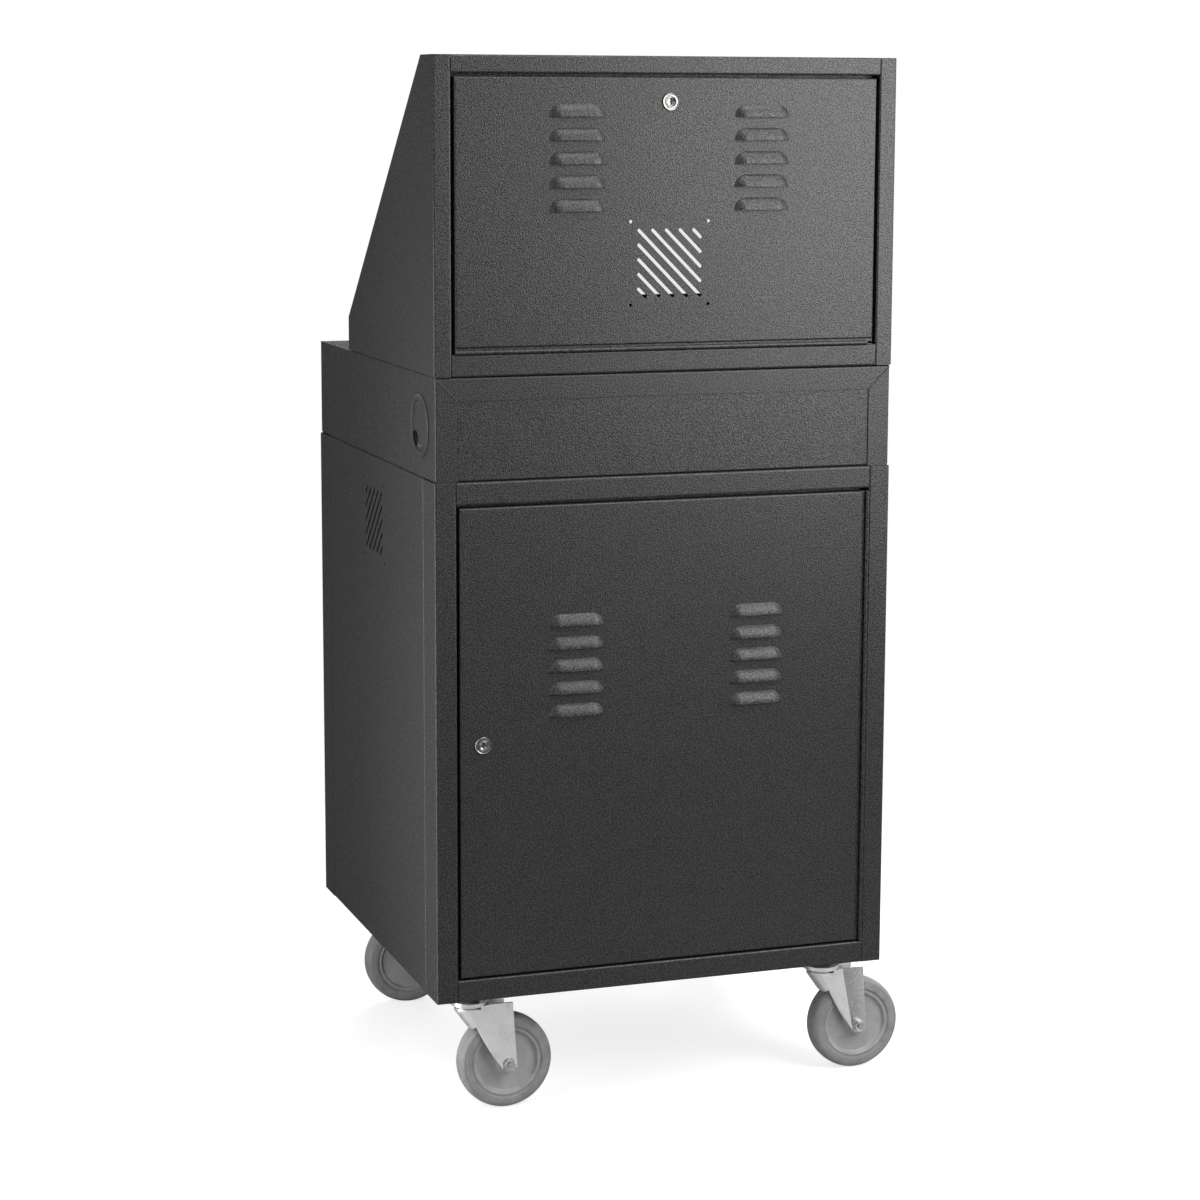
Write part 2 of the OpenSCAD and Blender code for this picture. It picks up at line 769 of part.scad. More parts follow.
module upper_side() {
    translate([-half_w, 0, up_z + seam]) {
        translate([0, -half_d, 0]) {
            linear_extrude(up_h - sheet) post_section(up_post_w, up_wrap, sheet);
            translate([up_post_w - sheet, stop_depth - sheet, up_rail_h + stop_w + fit])
                cube([stop_w + sheet, sheet, up_h - up_rail_h - up_top_rail_h - 2 * (stop_w + fit)]);
        }
        along_x(sheet) polygon([[-half_d + fold_r + sheet, 0], [slope_y, 0], [slope_y, up_front_h],
            [-half_d + up_top_d, up_h], [-half_d + fold_r + sheet, up_h]]);
        translate([0, -half_d + up_wrap, 0])
            cube([lip, up_d - up_wrap - window_flange - fit, sheet]);
    }
}
module upper_left_side() { color(black) upper_side(); }
module upper_right_side() { color(black) mirror([1, 0, 0]) upper_side(); }

// Flat top with the rail above the upper door
module upper_top() {
    w = cab_w - 2 * (sheet + fit);
    rail_len = cab_w - 2 * up_post_w;
    top_z = up_z + seam + up_h;
    color(black) {
        translate([-rail_len / 2, -half_d, top_z - up_top_rail_h]) along_x(rail_len)
            rail_section(up_top_rail_h);
        translate([-w / 2, -half_d + fold_r + sheet, top_z - sheet])
            cube([w, up_top_d - fold_r - sheet, sheet]);
    }
}

// Rail below the upper door, and the upright strip under the sloping front
module upper_rails() {
    rail_len = cab_w - 2 * up_post_w;
    strip_len = cab_w - 2 * (sheet + fit);
    color(black) {
        translate([-rail_len / 2, -half_d, up_z + seam + up_rail_h]) mirror([0, 0, 1])
            along_x(rail_len) rail_section(up_rail_h);
        translate([-strip_len / 2, slope_y, up_z + seam]) mirror([0, 1, 0]) along_x(strip_len)
            difference() {
                folded_ring([0, 0], [window_flange, up_front_h]);
                translate([sheet, sheet]) square([window_flange, up_front_h]);
            }
    }
}

// Turns a shape from the upright pan frame onto the sloping front
module on_slope() {
    translate([window_w / 2, slope_y, slope_z]) rotate([slope_lean, 0, 0]) rotate([0, 0, 180]) children();
}
module window_frame() {
    color(black) on_slope() difference() {
        translate([0, 0, slope_gap]) pan(window_w, slope_len - sheet - fit - slope_gap, window_flange);
        translate([window_side, 0, window_low]) through_face()
            round_rect([0, 0], [opening_w, opening_h], window_r);
    }
}
module window_pane() {
    color(clear) on_slope() translate([window_side - pane_lap, sheet, window_low - pane_lap])
        cube([opening_w + 2 * pane_lap, pane_t, opening_h + 2 * pane_lap]);
}
// Four strips screwed behind the pane's edges
module window_strips() {
    out = strip_w + strip_out;
    long = opening_w + 2 * out;
    color(black) on_slope() translate([0, sheet + pane_t, 0]) {
        for (z = [window_low - out, window_low + opening_h + out - strip_w])
            translate([window_side - out, 0, z]) cube([long, sheet, strip_w]);
        for (x = [window_side - out, window_side + opening_w + out - strip_w])
            translate([x, 0, window_low - out + strip_w + fit])
                cube([strip_w, sheet, opening_h + 2 * (out - strip_w - fit)]);
    }
}

// Grommets

// Flanged liner: its flange lies outside the side panel
module grommet_liners() {
    color(plastic) both_sides() translate([-mid_w / 2, grommet_y, grommet_z]) rotate([0, 90, 0])
        rotate_extrude($fn = round_fn) polygon([
            [grommet_cap_d / 2 + run, -grommet_out], [grommet_d / 2 - 2, -grommet_out],
            [grommet_d / 2, 1.2 - grommet_out], [grommet_d / 2, 0], [grommet_hole / 2 - fit, 0],
            [grommet_hole / 2 - fit, liner_len], [grommet_cap_d / 2 - 2, liner_len],
            [grommet_cap_d / 2 - 2, cap_t - grommet_seat], [grommet_cap_d / 2 + run, cap_t - grommet_seat]]);
}
// Turning cap with its cable notch, which points down and away from the rear face
module grommet_cap() {
    translate([-mid_w / 2 + cap_t - grommet_seat, grommet_y, grommet_z]) rotate([0, -90, 0]) difference() {
        translate([0, 0, run]) cylinder(d = grommet_cap_d, h = cap_t, $fn = round_fn);
        rotate(135) translate([grommet_cap_d / 2 - notch_r / 3, 0, -past])
            cylinder(r = notch_r, h = cap_t + 3 * past, $fn = round_fn);
    }
}
module left_grommet_cap() { color(plastic) grommet_cap(); }
module right_grommet_cap() { color(plastic) mirror([1, 0, 0]) grommet_cap(); }

// Hinges

module frame_hinge_leaves() {
    color(black) {
        at_rear_hinge() frame_leaf(door_h);
        at_front_hinge() frame_leaf(door_h);
        at_upper_hinge() frame_leaf(up_door_w);
    }
}
module hinge_pins() {
    color(zinc) {
        at_rear_hinge() hinge_pin(door_h);
        at_front_hinge() hinge_pin(door_h);
        at_upper_hinge() hinge_pin(up_door_w);
    }
}
module rear_door_hinge_leaf() { color(black) at_rear_hinge() door_leaf(door_h, hinge_gap); }
module front_door_hinge_leaf() { color(black) at_front_hinge() door_leaf(door_h, hinge_gap); }
module upper_door_hinge_leaf() { color(black) at_upper_hinge() door_leaf(up_door_w, up_hinge_gap); }

// Doors

module rear_door_panel() {
    color(black) difference() {
        translate([0, -half_d, 0]) louvred(base_z + base_louvre_z)
            translate([door_x, 0, door_z]) pan(door_w, door_h, door_d);
        at_rear_lock() lock_hole();
    }
}
module front_door_panel() {
    color(black) difference() {
        rotate([0, 0, 180]) translate([door_x, -half_d, door_z]) pan(door_w, door_h, door_d);
        at_front_lock() lock_hole();
    }
}
module upper_door_panel() {
    color(black) difference() {
        translate([0, -half_d, 0]) difference() {
            louvred(up_z + up_louvre_z)
                translate([-up_door_w / 2, 0, up_door_z]) pan(up_door_w, up_door_h, door_d);
            translate([0, 0, up_z + up_vent_z]) through_face() vent_cut();
        }
        at_upper_lock() lock_hole();
    }
}

// Locks: each cam rests beside its bolt-work, turned a quarter from the edge that it locks

module upper_lock_body() { color(zinc) at_upper_lock() lock_body(); }
module upper_lock_plug() { color(zinc) at_upper_lock() lock_plug(180); }
module rear_lock_body() { color(zinc) at_rear_lock() lock_body(); }
module rear_lock_plug() { color(zinc) at_rear_lock() lock_plug(90); }
module front_lock_body() { color(zinc) at_front_lock() lock_body(); }
module front_lock_plug() { color(zinc) at_front_lock() lock_plug(90); }
module flap_lock_body() { color(zinc) at_flap_lock() lock_body(); }
module flap_lock_plug() { color(zinc) at_flap_lock() lock_plug(180); }

// Keyboard drawer

// Left slide members: channels that nest in each other
module slide_member(inset, len) {
    h = slide_h - 2 * inset;
    leg = slide_leg - slide_clear;
    translate([-side_x + inset, slide_end - len, slide_z + inset]) rotate([90, 0, 0]) mirror([0, 0, 1])
        linear_extrude(len) difference() {
            square([leg, h]);
            translate([slide_t, slide_t]) square([leg, h - 2 * slide_t]);
        }
}
module drawer_fixed_slides() { color(zinc) both_sides() slide_member(0, tray_d); }
module drawer_middle_slides() { color(zinc) both_sides() slide_member(slide_step, tray_d); }
module drawer_inner_slides() {
    h = slide_h - 4 * slide_step;
    leg = slide_leg + slide_clear - 2 * slide_step;
    color(zinc) both_sides()
        translate([-side_x + 2 * slide_step, slide_end - tray_d, slide_z + 2 * slide_step])
            difference() {
                cube([leg + slide_t, tray_d, h]);
                translate([-past, -past, slide_t]) cube([leg + past, tray_d + 2 * past, h - 2 * slide_t]);
            }
}

// Tray with an ear and a stud at each front corner, on which the flap turns
module drawer_tray() {
    ear_r = pivot_d / 2 + 1.5;
    ear_y = pivot_y - slide_end + past;
    color(black) {
        translate([0, slide_end - tray_d / 2, tray_z]) floor_pan(tray_w, tray_d, tray_h);
        both_sides() translate([-tray_w / 2, slide_end - past, 0]) {
            along_x(sheet) {
                translate([0, pivot_z - ear_r]) square([ear_y, tray_z + tray_h / 2 - pivot_z + ear_r]);
                translate([ear_y, pivot_z]) circle(ear_r, $fn = fold_fn);
            }
            translate([-(flap_w - tray_w) / 2, ear_y, pivot_z]) rotate([0, 90, 0])
                cylinder(d = pivot_d, h = (flap_w - tray_w) / 2 + sheet, $fn = fold_fn);
        }
    }
}

// Fold-down flap: its lower edge isn't turned, so that it swings round the tray's ears
module drawer_flap() {
    inner_w = flap_w - 2 * (sheet + fold_r);
    color(black) difference() {
        translate([flap_w / 2, flap_y, flap_z]) rotate([0, 0, 180]) pan(flap_w, flap_h, flap_d);
        translate([-inner_w / 2, flap_y - flap_d - past, flap_z - past])
            cube([inner_w, flap_d - sheet - fold_r + past, sheet + 2 * past]);
        at_flap_lock() lock_hole();
        for (s = [0, 1]) mirror([s, 0, 0])
            translate([-flap_w / 2 - past, pivot_y, pivot_z]) rotate([0, 90, 0])
                cylinder(r = pivot_d / 2 + run, h = sheet + 2 * past, $fn = fold_fn);
    }
}

// Casters: z = 0 is the floor, the swivel's axis is at the origin and the wheel trails at +X

module caster_plate() {
    difference() {
        translate([0, 0, caster_h - plate_t]) linear_extrude(plate_t)
            round_rect([-plate_l / 2, -plate_b / 2], [plate_l / 2, plate_b / 2], 6);
        bolt_places() translate([0, 0, caster_h - plate_t - past])
            cylinder(d = bolt_d + 2 * fit, h = plate_t + 2 * past, $fn = fold_fn);
    }
    rotate_extrude($fn = round_fn) polygon([
        [0, crown_z - 4], [king_r + 4, crown_z - 4], [king_r + 5, crown_z - 3], [king_r + 5, crown_z - fit],
        [king_r, crown_z - fit], [king_r, crown_z + fork_t + fit], [race_r - 5, crown_z + fork_t + fit],
        [race_r + 4, caster_h - plate_t - 9], [race_r + 7, caster_h - plate_t], [0, caster_h - plate_t]]);
}
module caster_plates() { color(zinc) swivel_places() caster_plate(); }

// Hexagon nut with its axis along local Z
module hex_nut(d, over) {
    difference() {
        cylinder(d = over, h = 0.8 * d, $fn = 6);
        translate([0, 0, -past]) cylinder(r = d / 2 + run, h = 0.8 * d + 2 * past, $fn = fold_fn);
    }
}

// Bolts from below, each with its nut on the cabinet's floor
module caster_bolts() {
    head_d = bolt_d + 7;
    head_t = 0.65 * bolt_d;
    color(zinc) swivel_places() bolt_places() {
        translate([0, 0, caster_h - plate_t - head_t]) cylinder(d = head_d, h = head_t, $fn = 6);
        translate([0, 0, caster_h - plate_t - past])
            cylinder(d = bolt_d, h = past + plate_t + sheet + bolt_d + 3, $fn = fold_fn);
        translate([0, 0, caster_h + sheet]) hex_nut(bolt_d, head_d);
    }
}

// Outline of a fork leg in X and Z, from the crease beside the crown to the rounded end
module leg_outline(inset, top) {
    end_r = 5 - inset / 2;
    hull() {
        translate([leg_in, top - past]) square([leg_out - leg_in - inset, past]);
        for (s = [-1, 1])
            translate([trail + leg_back + s * (leg_w / 2 - inset - end_r),
                    axle_z - leg_w / 2 - 1 + inset + end_r]) circle(end_r, $fn = 16);
    }
}

// Solid wedge of the fork, from its round crown down to the legs' ends
module fork_wedge(inset, leg_top) {
    top = crown_z + fork_t - inset;
    half = fork_out - inset;
    hull() {
        translate([0, 0, top - 4]) cylinder(r = fork_out - 2 - inset, h = 4, $fn = 32);
        translate([0, half, 0]) rotate([90, 0, 0]) linear_extrude(2 * half) leg_outline(inset, leg_top);
    }
}

module fork() {
    difference() {
        union() {
            difference() {
                fork_wedge(0, crown_z + leg_up);
                fork_wedge(fork_t, crown_z);
                translate([crown_r + past, -fork_in, 0]) cube([leg_out, 2 * fork_in, caster_h]);
                translate([0, 0, crown_z + fork_t]) cylinder(r = crown_r - 2, h = 20, $fn = round_fn);
                translate([0, 0, crown_z - past]) cylinder(r = race_r - 2, h = 20, $fn = round_fn);
                translate([trail, -fork_in, axle_z]) bar_y(wheel_d + 9, 2 * fork_in);
            }
            rotate_extrude($fn = round_fn) polygon([
                [king_r + run, crown_z], [race_r + 1, crown_z], [crown_r - 2, crown_z + 7],
                [crown_r, crown_z + 7], [crown_r, crown_z + 12], [crown_r - fork_t, crown_z + 12],
                [crown_r - fork_t, crown_z + 10], [race_r, crown_z + fork_t],
                [king_r + run, crown_z + fork_t]]);
        }
        translate([trail, -fork_out - past, axle_z]) bar_y(axle_d + 2 * run, 2 * (fork_out + past));
    }
}

// Axle bolt: its head at +Y, its washer and nut at -Y, towards the service face
module axle() {
    washer_t = 1.6;
    nut_y = fork_out + washer_t + 0.8 * axle_d + 3 * run;
    translate([trail, 0, axle_z]) {
        translate([0, -nut_y - 2, 0]) bar_y(axle_d, nut_y + 2 + fork_out + past);
        translate([0, fork_out + run, 0]) bar_y(axle_d + 7, 0.65 * axle_d, 6);
        translate([0, -fork_out - run - washer_t, 0]) difference() {
            bar_y(axle_d + 9, washer_t);
            translate([0, -past, 0]) bar_y(axle_d + 2 * run, washer_t + 2 * past);
        }
        translate([0, run - nut_y, 0]) rotate([-90, 0, 0]) hex_nut(axle_d, axle_d + 7);
    }
}

// Wheel centre: hub, sunk web and rim
module wheel_core() {
    bore_r = axle_d / 2 + run;
    hub_r = axle_d / 2 + 10;
    translate([trail, 0, axle_z]) rotate([-90, 0, 0]) rotate_extrude($fn = 96) polygon([
        [bore_r, -hub_w / 2], [hub_r, -hub_w / 2], [hub_r + 2, -web_half], [rim_r - 6, -web_half],
        [rim_r - 3, -wheel_w / 2 + 1.5], [rim_r, -wheel_w / 2 + 1.5], [rim_r, wheel_w / 2 - 1.5],
        [rim_r - 3, wheel_w / 2 - 1.5], [rim_r - 6, web_half], [hub_r + 2, web_half], [hub_r, hub_w / 2],
        [bore_r, hub_w / 2]]);
}

// Tyre with a crowned tread and a ring on each side wall
module tyre() {
    seat_r = rim_r + 0.1;
    edge_r = 7;
    translate([trail, 0, axle_z]) rotate([-90, 0, 0]) rotate_extrude($fn = 96) difference() {
        union() {
            translate([seat_r, -wheel_w / 2]) square([wheel_d / 2 - edge_r - seat_r, wheel_w]);
            translate([seat_r, -wheel_w / 2 + edge_r]) square([wheel_d / 2 - seat_r, wheel_w - 2 * edge_r]);
            for (s = [-1, 1]) translate([wheel_d / 2 - edge_r, s * (wheel_w / 2 - edge_r)])
                circle(edge_r, $fn = fold_fn);
        }
        for (s = [-1, 1]) translate([wheel_d / 2 - edge_r - 1, s * wheel_w / 2]) circle(0.8, $fn = 16);
    }
}

module at_swivel(x, y) { translate([x * swivel_x, y * swivel_y, 0]) children(); }
module rear_left_fork() { color(zinc) at_swivel(-1, -1) { fork(); axle(); } }
module rear_right_fork() { color(zinc) at_swivel(1, -1) { fork(); axle(); } }
module front_left_fork() { color(zinc) at_swivel(-1, 1) { fork(); axle(); } }
module front_right_fork() { color(zinc) at_swivel(1, 1) { fork(); axle(); } }
module rear_left_wheel() { color(grey) at_swivel(-1, -1) wheel_core(); }
module rear_right_wheel() { color(grey) at_swivel(1, -1) wheel_core(); }
module front_left_wheel() { color(grey) at_swivel(-1, 1) wheel_core(); }
module front_right_wheel() { color(grey) at_swivel(1, 1) wheel_core(); }
module rear_left_tyre() { color(light_grey) at_swivel(-1, -1) tyre(); }
module rear_right_tyre() { color(light_grey) at_swivel(1, -1) tyre(); }
module front_left_tyre() { color(light_grey) at_swivel(-1, 1) tyre(); }
module front_right_tyre() { color(light_grey) at_swivel(1, 1) tyre(); }

base_left_side();
base_right_side();
base_rear_posts();
base_front_posts();
base_rear_rails();
base_front_rails();
base_floor();
base_top();
shelf();
shelf_clips();
mid_left_side();
mid_right_side();
mid_rear_panel();
mid_top();
upper_left_side();
upper_right_side();
upper_top();
upper_rails();
window_frame();
window_pane();
window_strips();
grommet_liners();
left_grommet_cap();
right_grommet_cap();
frame_hinge_leaves();
hinge_pins();
upper_door_panel();
upper_door_hinge_leaf();
upper_lock_body();
upper_lock_plug();
rear_door_panel();
rear_door_hinge_leaf();
rear_lock_body();
rear_lock_plug();
front_door_panel();
front_door_hinge_leaf();
front_lock_body();
front_lock_plug();
drawer_fixed_slides();
drawer_middle_slides();
drawer_inner_slides();
drawer_tray();
drawer_flap();
flap_lock_body();
flap_lock_plug();
caster_plates();
caster_bolts();
rear_left_fork();
rear_right_fork();
front_left_fork();
front_right_fork();
rear_left_wheel();
rear_right_wheel();
front_left_wheel();
front_right_wheel();
rear_left_tyre();
rear_right_tyre();
front_left_tyre();
front_right_tyre();
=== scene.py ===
import json
import math

import bmesh
import bpy
from mathutils import Euler, Matrix, Vector


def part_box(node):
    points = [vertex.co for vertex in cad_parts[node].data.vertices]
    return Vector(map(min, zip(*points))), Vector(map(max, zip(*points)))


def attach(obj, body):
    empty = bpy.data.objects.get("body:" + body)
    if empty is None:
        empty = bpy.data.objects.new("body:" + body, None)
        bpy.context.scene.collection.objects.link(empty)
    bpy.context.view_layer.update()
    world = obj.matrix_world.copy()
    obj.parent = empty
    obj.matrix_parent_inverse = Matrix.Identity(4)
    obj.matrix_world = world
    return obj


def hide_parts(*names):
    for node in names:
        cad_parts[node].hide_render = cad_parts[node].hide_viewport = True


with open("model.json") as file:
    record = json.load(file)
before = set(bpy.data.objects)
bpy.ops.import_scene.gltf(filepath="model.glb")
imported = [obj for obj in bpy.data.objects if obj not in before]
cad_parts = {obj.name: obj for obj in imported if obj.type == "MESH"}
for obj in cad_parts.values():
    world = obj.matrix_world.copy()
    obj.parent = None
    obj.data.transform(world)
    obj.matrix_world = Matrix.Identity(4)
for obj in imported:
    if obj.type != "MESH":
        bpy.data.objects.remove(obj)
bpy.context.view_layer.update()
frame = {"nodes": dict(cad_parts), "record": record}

# How near two corners are one, in metres, and the decimals that tell corners apart
SAME_POINT, SAME_CAD_POINT, DECIMALS = 1e-7, 2e-6, 4
SEED = 7
# From here on profiles and the sizes in capitals are in millimetres, and angles in degrees
MM = 0.001


class Wire:
    """A value that runs through a material. Arithmetic on it adds Math nodes."""

    def __init__(self, finish, socket):
        self.finish, self.socket = finish, socket

    def _maths(self, operation, *values, clamp=False):
        return self.finish.add(
            "ShaderNodeMath", {"operation": operation, "use_clamp": clamp}, dict(enumerate(values))
        )

    def __add__(self, other):
        return self._maths("ADD", self, other)

    def __radd__(self, other):
        return self._maths("ADD", other, self)

    def __sub__(self, other):
        return self._maths("SUBTRACT", self, other)

    def __rsub__(self, other):
        return self._maths("SUBTRACT", other, self)

    def __mul__(self, other):
        return self._maths("MULTIPLY", self, other)

    def __rmul__(self, other):
        return self._maths("MULTIPLY", other, self)

    def held(self):
        """The value kept between 0 and 1."""
        return self._maths("ADD", self, 0.0, clamp=True)

    def swing(self, amount):
        """How far a noise strays from its middle, times an amount."""
        return (self - 0.5) * amount

    def contrast(self, gain, middle=0.5):
        """A noise with its swing raised, kept between 0 and 1."""
        return (self.swing(gain) + middle).held()

    def over(self, low, high):
        """0 below low, 1 above high, and smooth between."""
        return self.finish.add(
            "ShaderNodeMapRange",
            {"interpolation_type": "SMOOTHSTEP"},
            {"Value": self, "From Min": low, "From Max": high, "To Min": 0.0, "To Max": 1.0},
        )


def set_socket(tree, socket, value):
    """Links a socket to another one, or gives it a value of its own."""
    if isinstance(value, Wire):
        value = value.socket
    if isinstance(value, bpy.types.NodeSocket):
        tree.links.new(value, socket)
    elif socket.type == "RGBA" and len(value) == 3:
        socket.default_value = (*value, 1.0)
    else:
        socket.default_value = value


def add_node(tree, kind, settings, values):
    """Adds a node: its settings first, then the values or links of its sockets."""
    node = tree.nodes.new(kind)
    for setting, value in settings.items():
        setattr(node, setting, value)
    for socket, value in values.items():
        set_socket(tree, node.inputs[socket], value)
    return node


class Finish:
    """One material: its shader, and the one method that adds every other node."""

    def __init__(self, name, **shader):
        self.material = bpy.data.materials.new(name)
        self.material.use_nodes = True
        self.tree = self.material.node_tree
        self.tree.nodes.clear()
        self.out = self.tree.nodes.new("ShaderNodeOutputMaterial")
        self.shader = self.tree.nodes.new("ShaderNodeBsdfPrincipled")
        self.tree.links.new(self.shader.outputs[0], self.out.inputs["Surface"])
        for socket, value in shader.items():
            self.feed(socket.replace("_", " "), value)
        self.place = self.add("ShaderNodeTexCoord", {}, {}, "Object")

    def add(self, kind, settings, values, output=0):
        """Adds a node and gives back the wire from one of its outputs."""
        return Wire(self, add_node(self.tree, kind, settings, values).outputs[output])

    def feed(self, socket, value):
        """Links or sets a socket of the material's shader."""
        set_socket(self.tree, self.shader.inputs[socket], value)

    def noise(self, scale, detail=2.0, roughness=0.5, stretch=None):
        """A noise in the object's own coordinates, drawn finer along an axis by stretch."""
        place = self.place
        if stretch:
            place = self.add("ShaderNodeMapping", {}, {"Vector": place, "Scale": stretch})
        return self.add(
            "ShaderNodeTexNoise",
            {"noise_dimensions": "3D"},
            {"Vector": place, "Scale": scale, "Detail": detail, "Roughness": roughness},
        )

    def blend(self, amount, first, second):
        """One colour going over to another. The Mix node's colour sockets go by number."""
        factor, colour_a, colour_b, result = 0, 6, 7, 2
        values = {factor: amount, colour_a: first, colour_b: second}
        return self.add("ShaderNodeMix", {"data_type": "RGBA"}, values, result)

    def relief(self, height, distance, strength, under=None):
        """A bump made from a height, on top of another bump where one is given."""
        values = {"Height": height, "Distance": distance, "Strength": strength}
        if under is not None:
            values["Normal"] = under
        return self.add("ShaderNodeBump", {}, values)


def powder_coat():
    """Black powder coat with a fine hammered grain under a thin gloss, baked on folded sheet. Its colour
    holds painted shade in the grain's hollows and along the sheet's waves and painted light on the grain's
    crests, with the dust's own tone.
    """
    coat = Finish("black_powder_coat", IOR=1.45, Specular_IOR_Level=0.36, Coat_Roughness=0.36, Coat_IOR=1.5)
    grain = coat.noise(560, detail=1.5, roughness=0.5)
    sheet_wave = coat.noise(3.2, detail=2.0)
    dust = coat.noise(38, detail=4.0, roughness=0.6)
    grazing = coat.add("ShaderNodeLayerWeight", {}, {"Blend": 0.5}, "Facing")
    # Painted light and shade: the base colour is darker in the grain's hollows and along the sheet's waves,
    # and lighter on the grain's crests; only the dust part is the coat's own tone
    relief_shade_and_dust = grain.swing(3.6) + dust.swing(0.3) + sheet_wave.swing(0.3)
    shaded_hollow, raised = (0.003, 0.0031, 0.0034), (0.019, 0.0193, 0.02)
    roughness = 0.38 + grain.swing(0.2) + dust.swing(0.06) + grazing * grazing * 0.75
    coat.feed("Base Color", coat.blend((relief_shade_and_dust + 0.5).held(), shaded_hollow, raised))
    coat.feed("Coat Weight", (grain.swing(2.0) + 0.26 - grazing * 0.45).held())
    coat.feed("Roughness", roughness.held())
    fine = coat.relief(grain, 0.0006, 1.0)
    coat.feed("Normal", coat.relief(sheet_wave, 0.004, 0.12, fine))
    return coat.material


def zinc_plate():
    """Bright zinc on pressed steel: cool, lightly mottled, with faint draw marks."""
    zinc = Finish("zinc_plated_steel")
    cloud = zinc.noise(45, detail=4.0, roughness=0.6)
    fine = zinc.noise(900, detail=2.0)
    drawn = zinc.noise(60, detail=2.0, stretch=(1.0, 1.0, 9.0))
    dull, bright = (0.6, 0.603, 0.61), (0.74, 0.743, 0.75)
    zinc.feed("Base Color", zinc.blend(cloud.contrast(2.2), dull, bright))
    zinc.feed("Metallic", 0.9 + cloud.swing(0.12))
    zinc.feed("Roughness", (0.3 + cloud.swing(0.12) + fine.swing(0.1)).held())
    zinc.feed("Normal", zinc.relief(fine * 0.4 + drawn, 0.00025, 0.35))
    return zinc.material


def bolt_steel():
    """Darker passivated zinc of the bolts and nuts, with bright worn corners."""
    steel = Finish("zinc_bolts", Metallic=1.0)
    cloud = steel.noise(220, detail=3.0)
    worn = steel.add("ShaderNodeNewGeometry", {}, {}, "Pointiness").over(0.52, 0.6)
    dark, light, bare = (0.2, 0.2, 0.205), (0.34, 0.34, 0.345), (0.72, 0.72, 0.72)
    steel.feed("Base Color", steel.blend(worn, steel.blend(cloud.contrast(2.0), dark, light), bare))
    steel.feed("Roughness", (0.26 + cloud.swing(0.2)).held())
    steel.feed("Normal", steel.relief(cloud, 0.0001, 0.3))
    return steel.material


def nickel_plate():
    """Polished nickel of the locks, faintly clouded and finely grained, its colour kept dark as a painted
    reflection of dark surroundings.
    """
    nickel = Finish("nickel_plated_zinc", Metallic=1.0)
    cloud = nickel.noise(160, detail=3.0)
    fine = nickel.noise(1800, detail=1.0)
    # Painted reflection: both colours sit far below bare nickel, standing in for the dark surroundings that
    # the locks mirror
    dark, light = (0.17, 0.168, 0.163), (0.28, 0.276, 0.27)
    nickel.feed("Base Color", nickel.blend(cloud.contrast(2.0), dark, light))
    nickel.feed("Roughness", (0.2 + cloud.swing(0.16) + fine.swing(0.08)).held())
    nickel.feed("Normal", nickel.relief(fine, 0.00012, 0.25))
    return nickel.material


def black_plastic():
    """Moulded black plastic with a spark-eroded grain."""
    plastic = Finish("black_plastic", IOR=1.47, Specular_IOR_Level=0.3)
    grain = plastic.noise(1300, detail=2.0)
    cloud = plastic.noise(60, detail=3.0)
    dark, light = (0.011, 0.011, 0.012), (0.024, 0.024, 0.026)
    plastic.feed("Base Color", plastic.blend(cloud, dark, light))
    plastic.feed("Roughness", (0.42 + grain.swing(0.2)).held())
    plastic.feed("Normal", plastic.relief(grain, 0.00015, 0.5))
    return plastic.material


def clear_pane():
    """A clear sheet of polycarbonate with a breath of dust on it."""
    pane = Finish("clear_pane", Base_Color=(0.93, 0.96, 0.965), IOR=1.58, Transmission_Weight=1.0)
    dust = pane.noise(26, detail=5.0, roughness=0.65)
    pane.feed("Roughness", (dust - 0.42).held() * 0.16 + 0.015)
    pane.feed("Normal", pane.relief(pane.noise(9, detail=1.0), 0.0004, 0.15))
    return pane.material


def wheel_centre():
    """Grey moulded nylon of the wheels, with cloudy flow marks."""
    nylon = Finish("grey_wheel_centre", IOR=1.5)
    flow = nylon.noise(55, detail=3.0)
    grain = nylon.noise(1100, detail=2.0)
    dark, light = (0.235, 0.236, 0.238), (0.34, 0.342, 0.345)
    nylon.feed("Base Color", nylon.blend(flow.contrast(1.8), dark, light))
    nylon.feed("Roughness", (0.36 + flow.swing(0.2) + grain.swing(0.1)).held())
    nylon.feed("Normal", nylon.relief(grain, 0.00012, 0.4))
    return nylon.material


def tyre_rubber():
    """Grey thermoplastic rubber, dull, with floor dust in its grain."""
    rubber = Finish("grey_rubber", IOR=1.5, Specular_IOR_Level=0.35)
    dust = rubber.noise(70, detail=5.0, roughness=0.65)
    grain = rubber.noise(1400, detail=2.0)
    dark, light = (0.18, 0.18, 0.18), (0.27, 0.268, 0.265)
    rubber.feed("Base Color", rubber.blend(dust.contrast(2.2, 0.45), dark, light))
    rubber.feed("Roughness", (0.6 + dust.swing(0.3)).held())
    rubber.feed("Normal", rubber.relief(grain + dust * 0.5, 0.0002, 0.45))
    return rubber.material


COAT, ZINC, NICKEL, BOLTS = powder_coat(), zinc_plate(), nickel_plate(), bolt_steel()
PLASTIC, PANE, NYLON, RUBBER = black_plastic(), clear_pane(), wheel_centre(), tyre_rubber()

CORNERS = ("rear_left", "rear_right", "front_left", "front_right")
# Which way along Y each lock's face looks, and how far its cam is turned round that axis
LOCKS = {"upper": (-1, 180.0), "rear": (-1, -90.0), "front": (1, -90.0), "flap": (1, 180.0)}
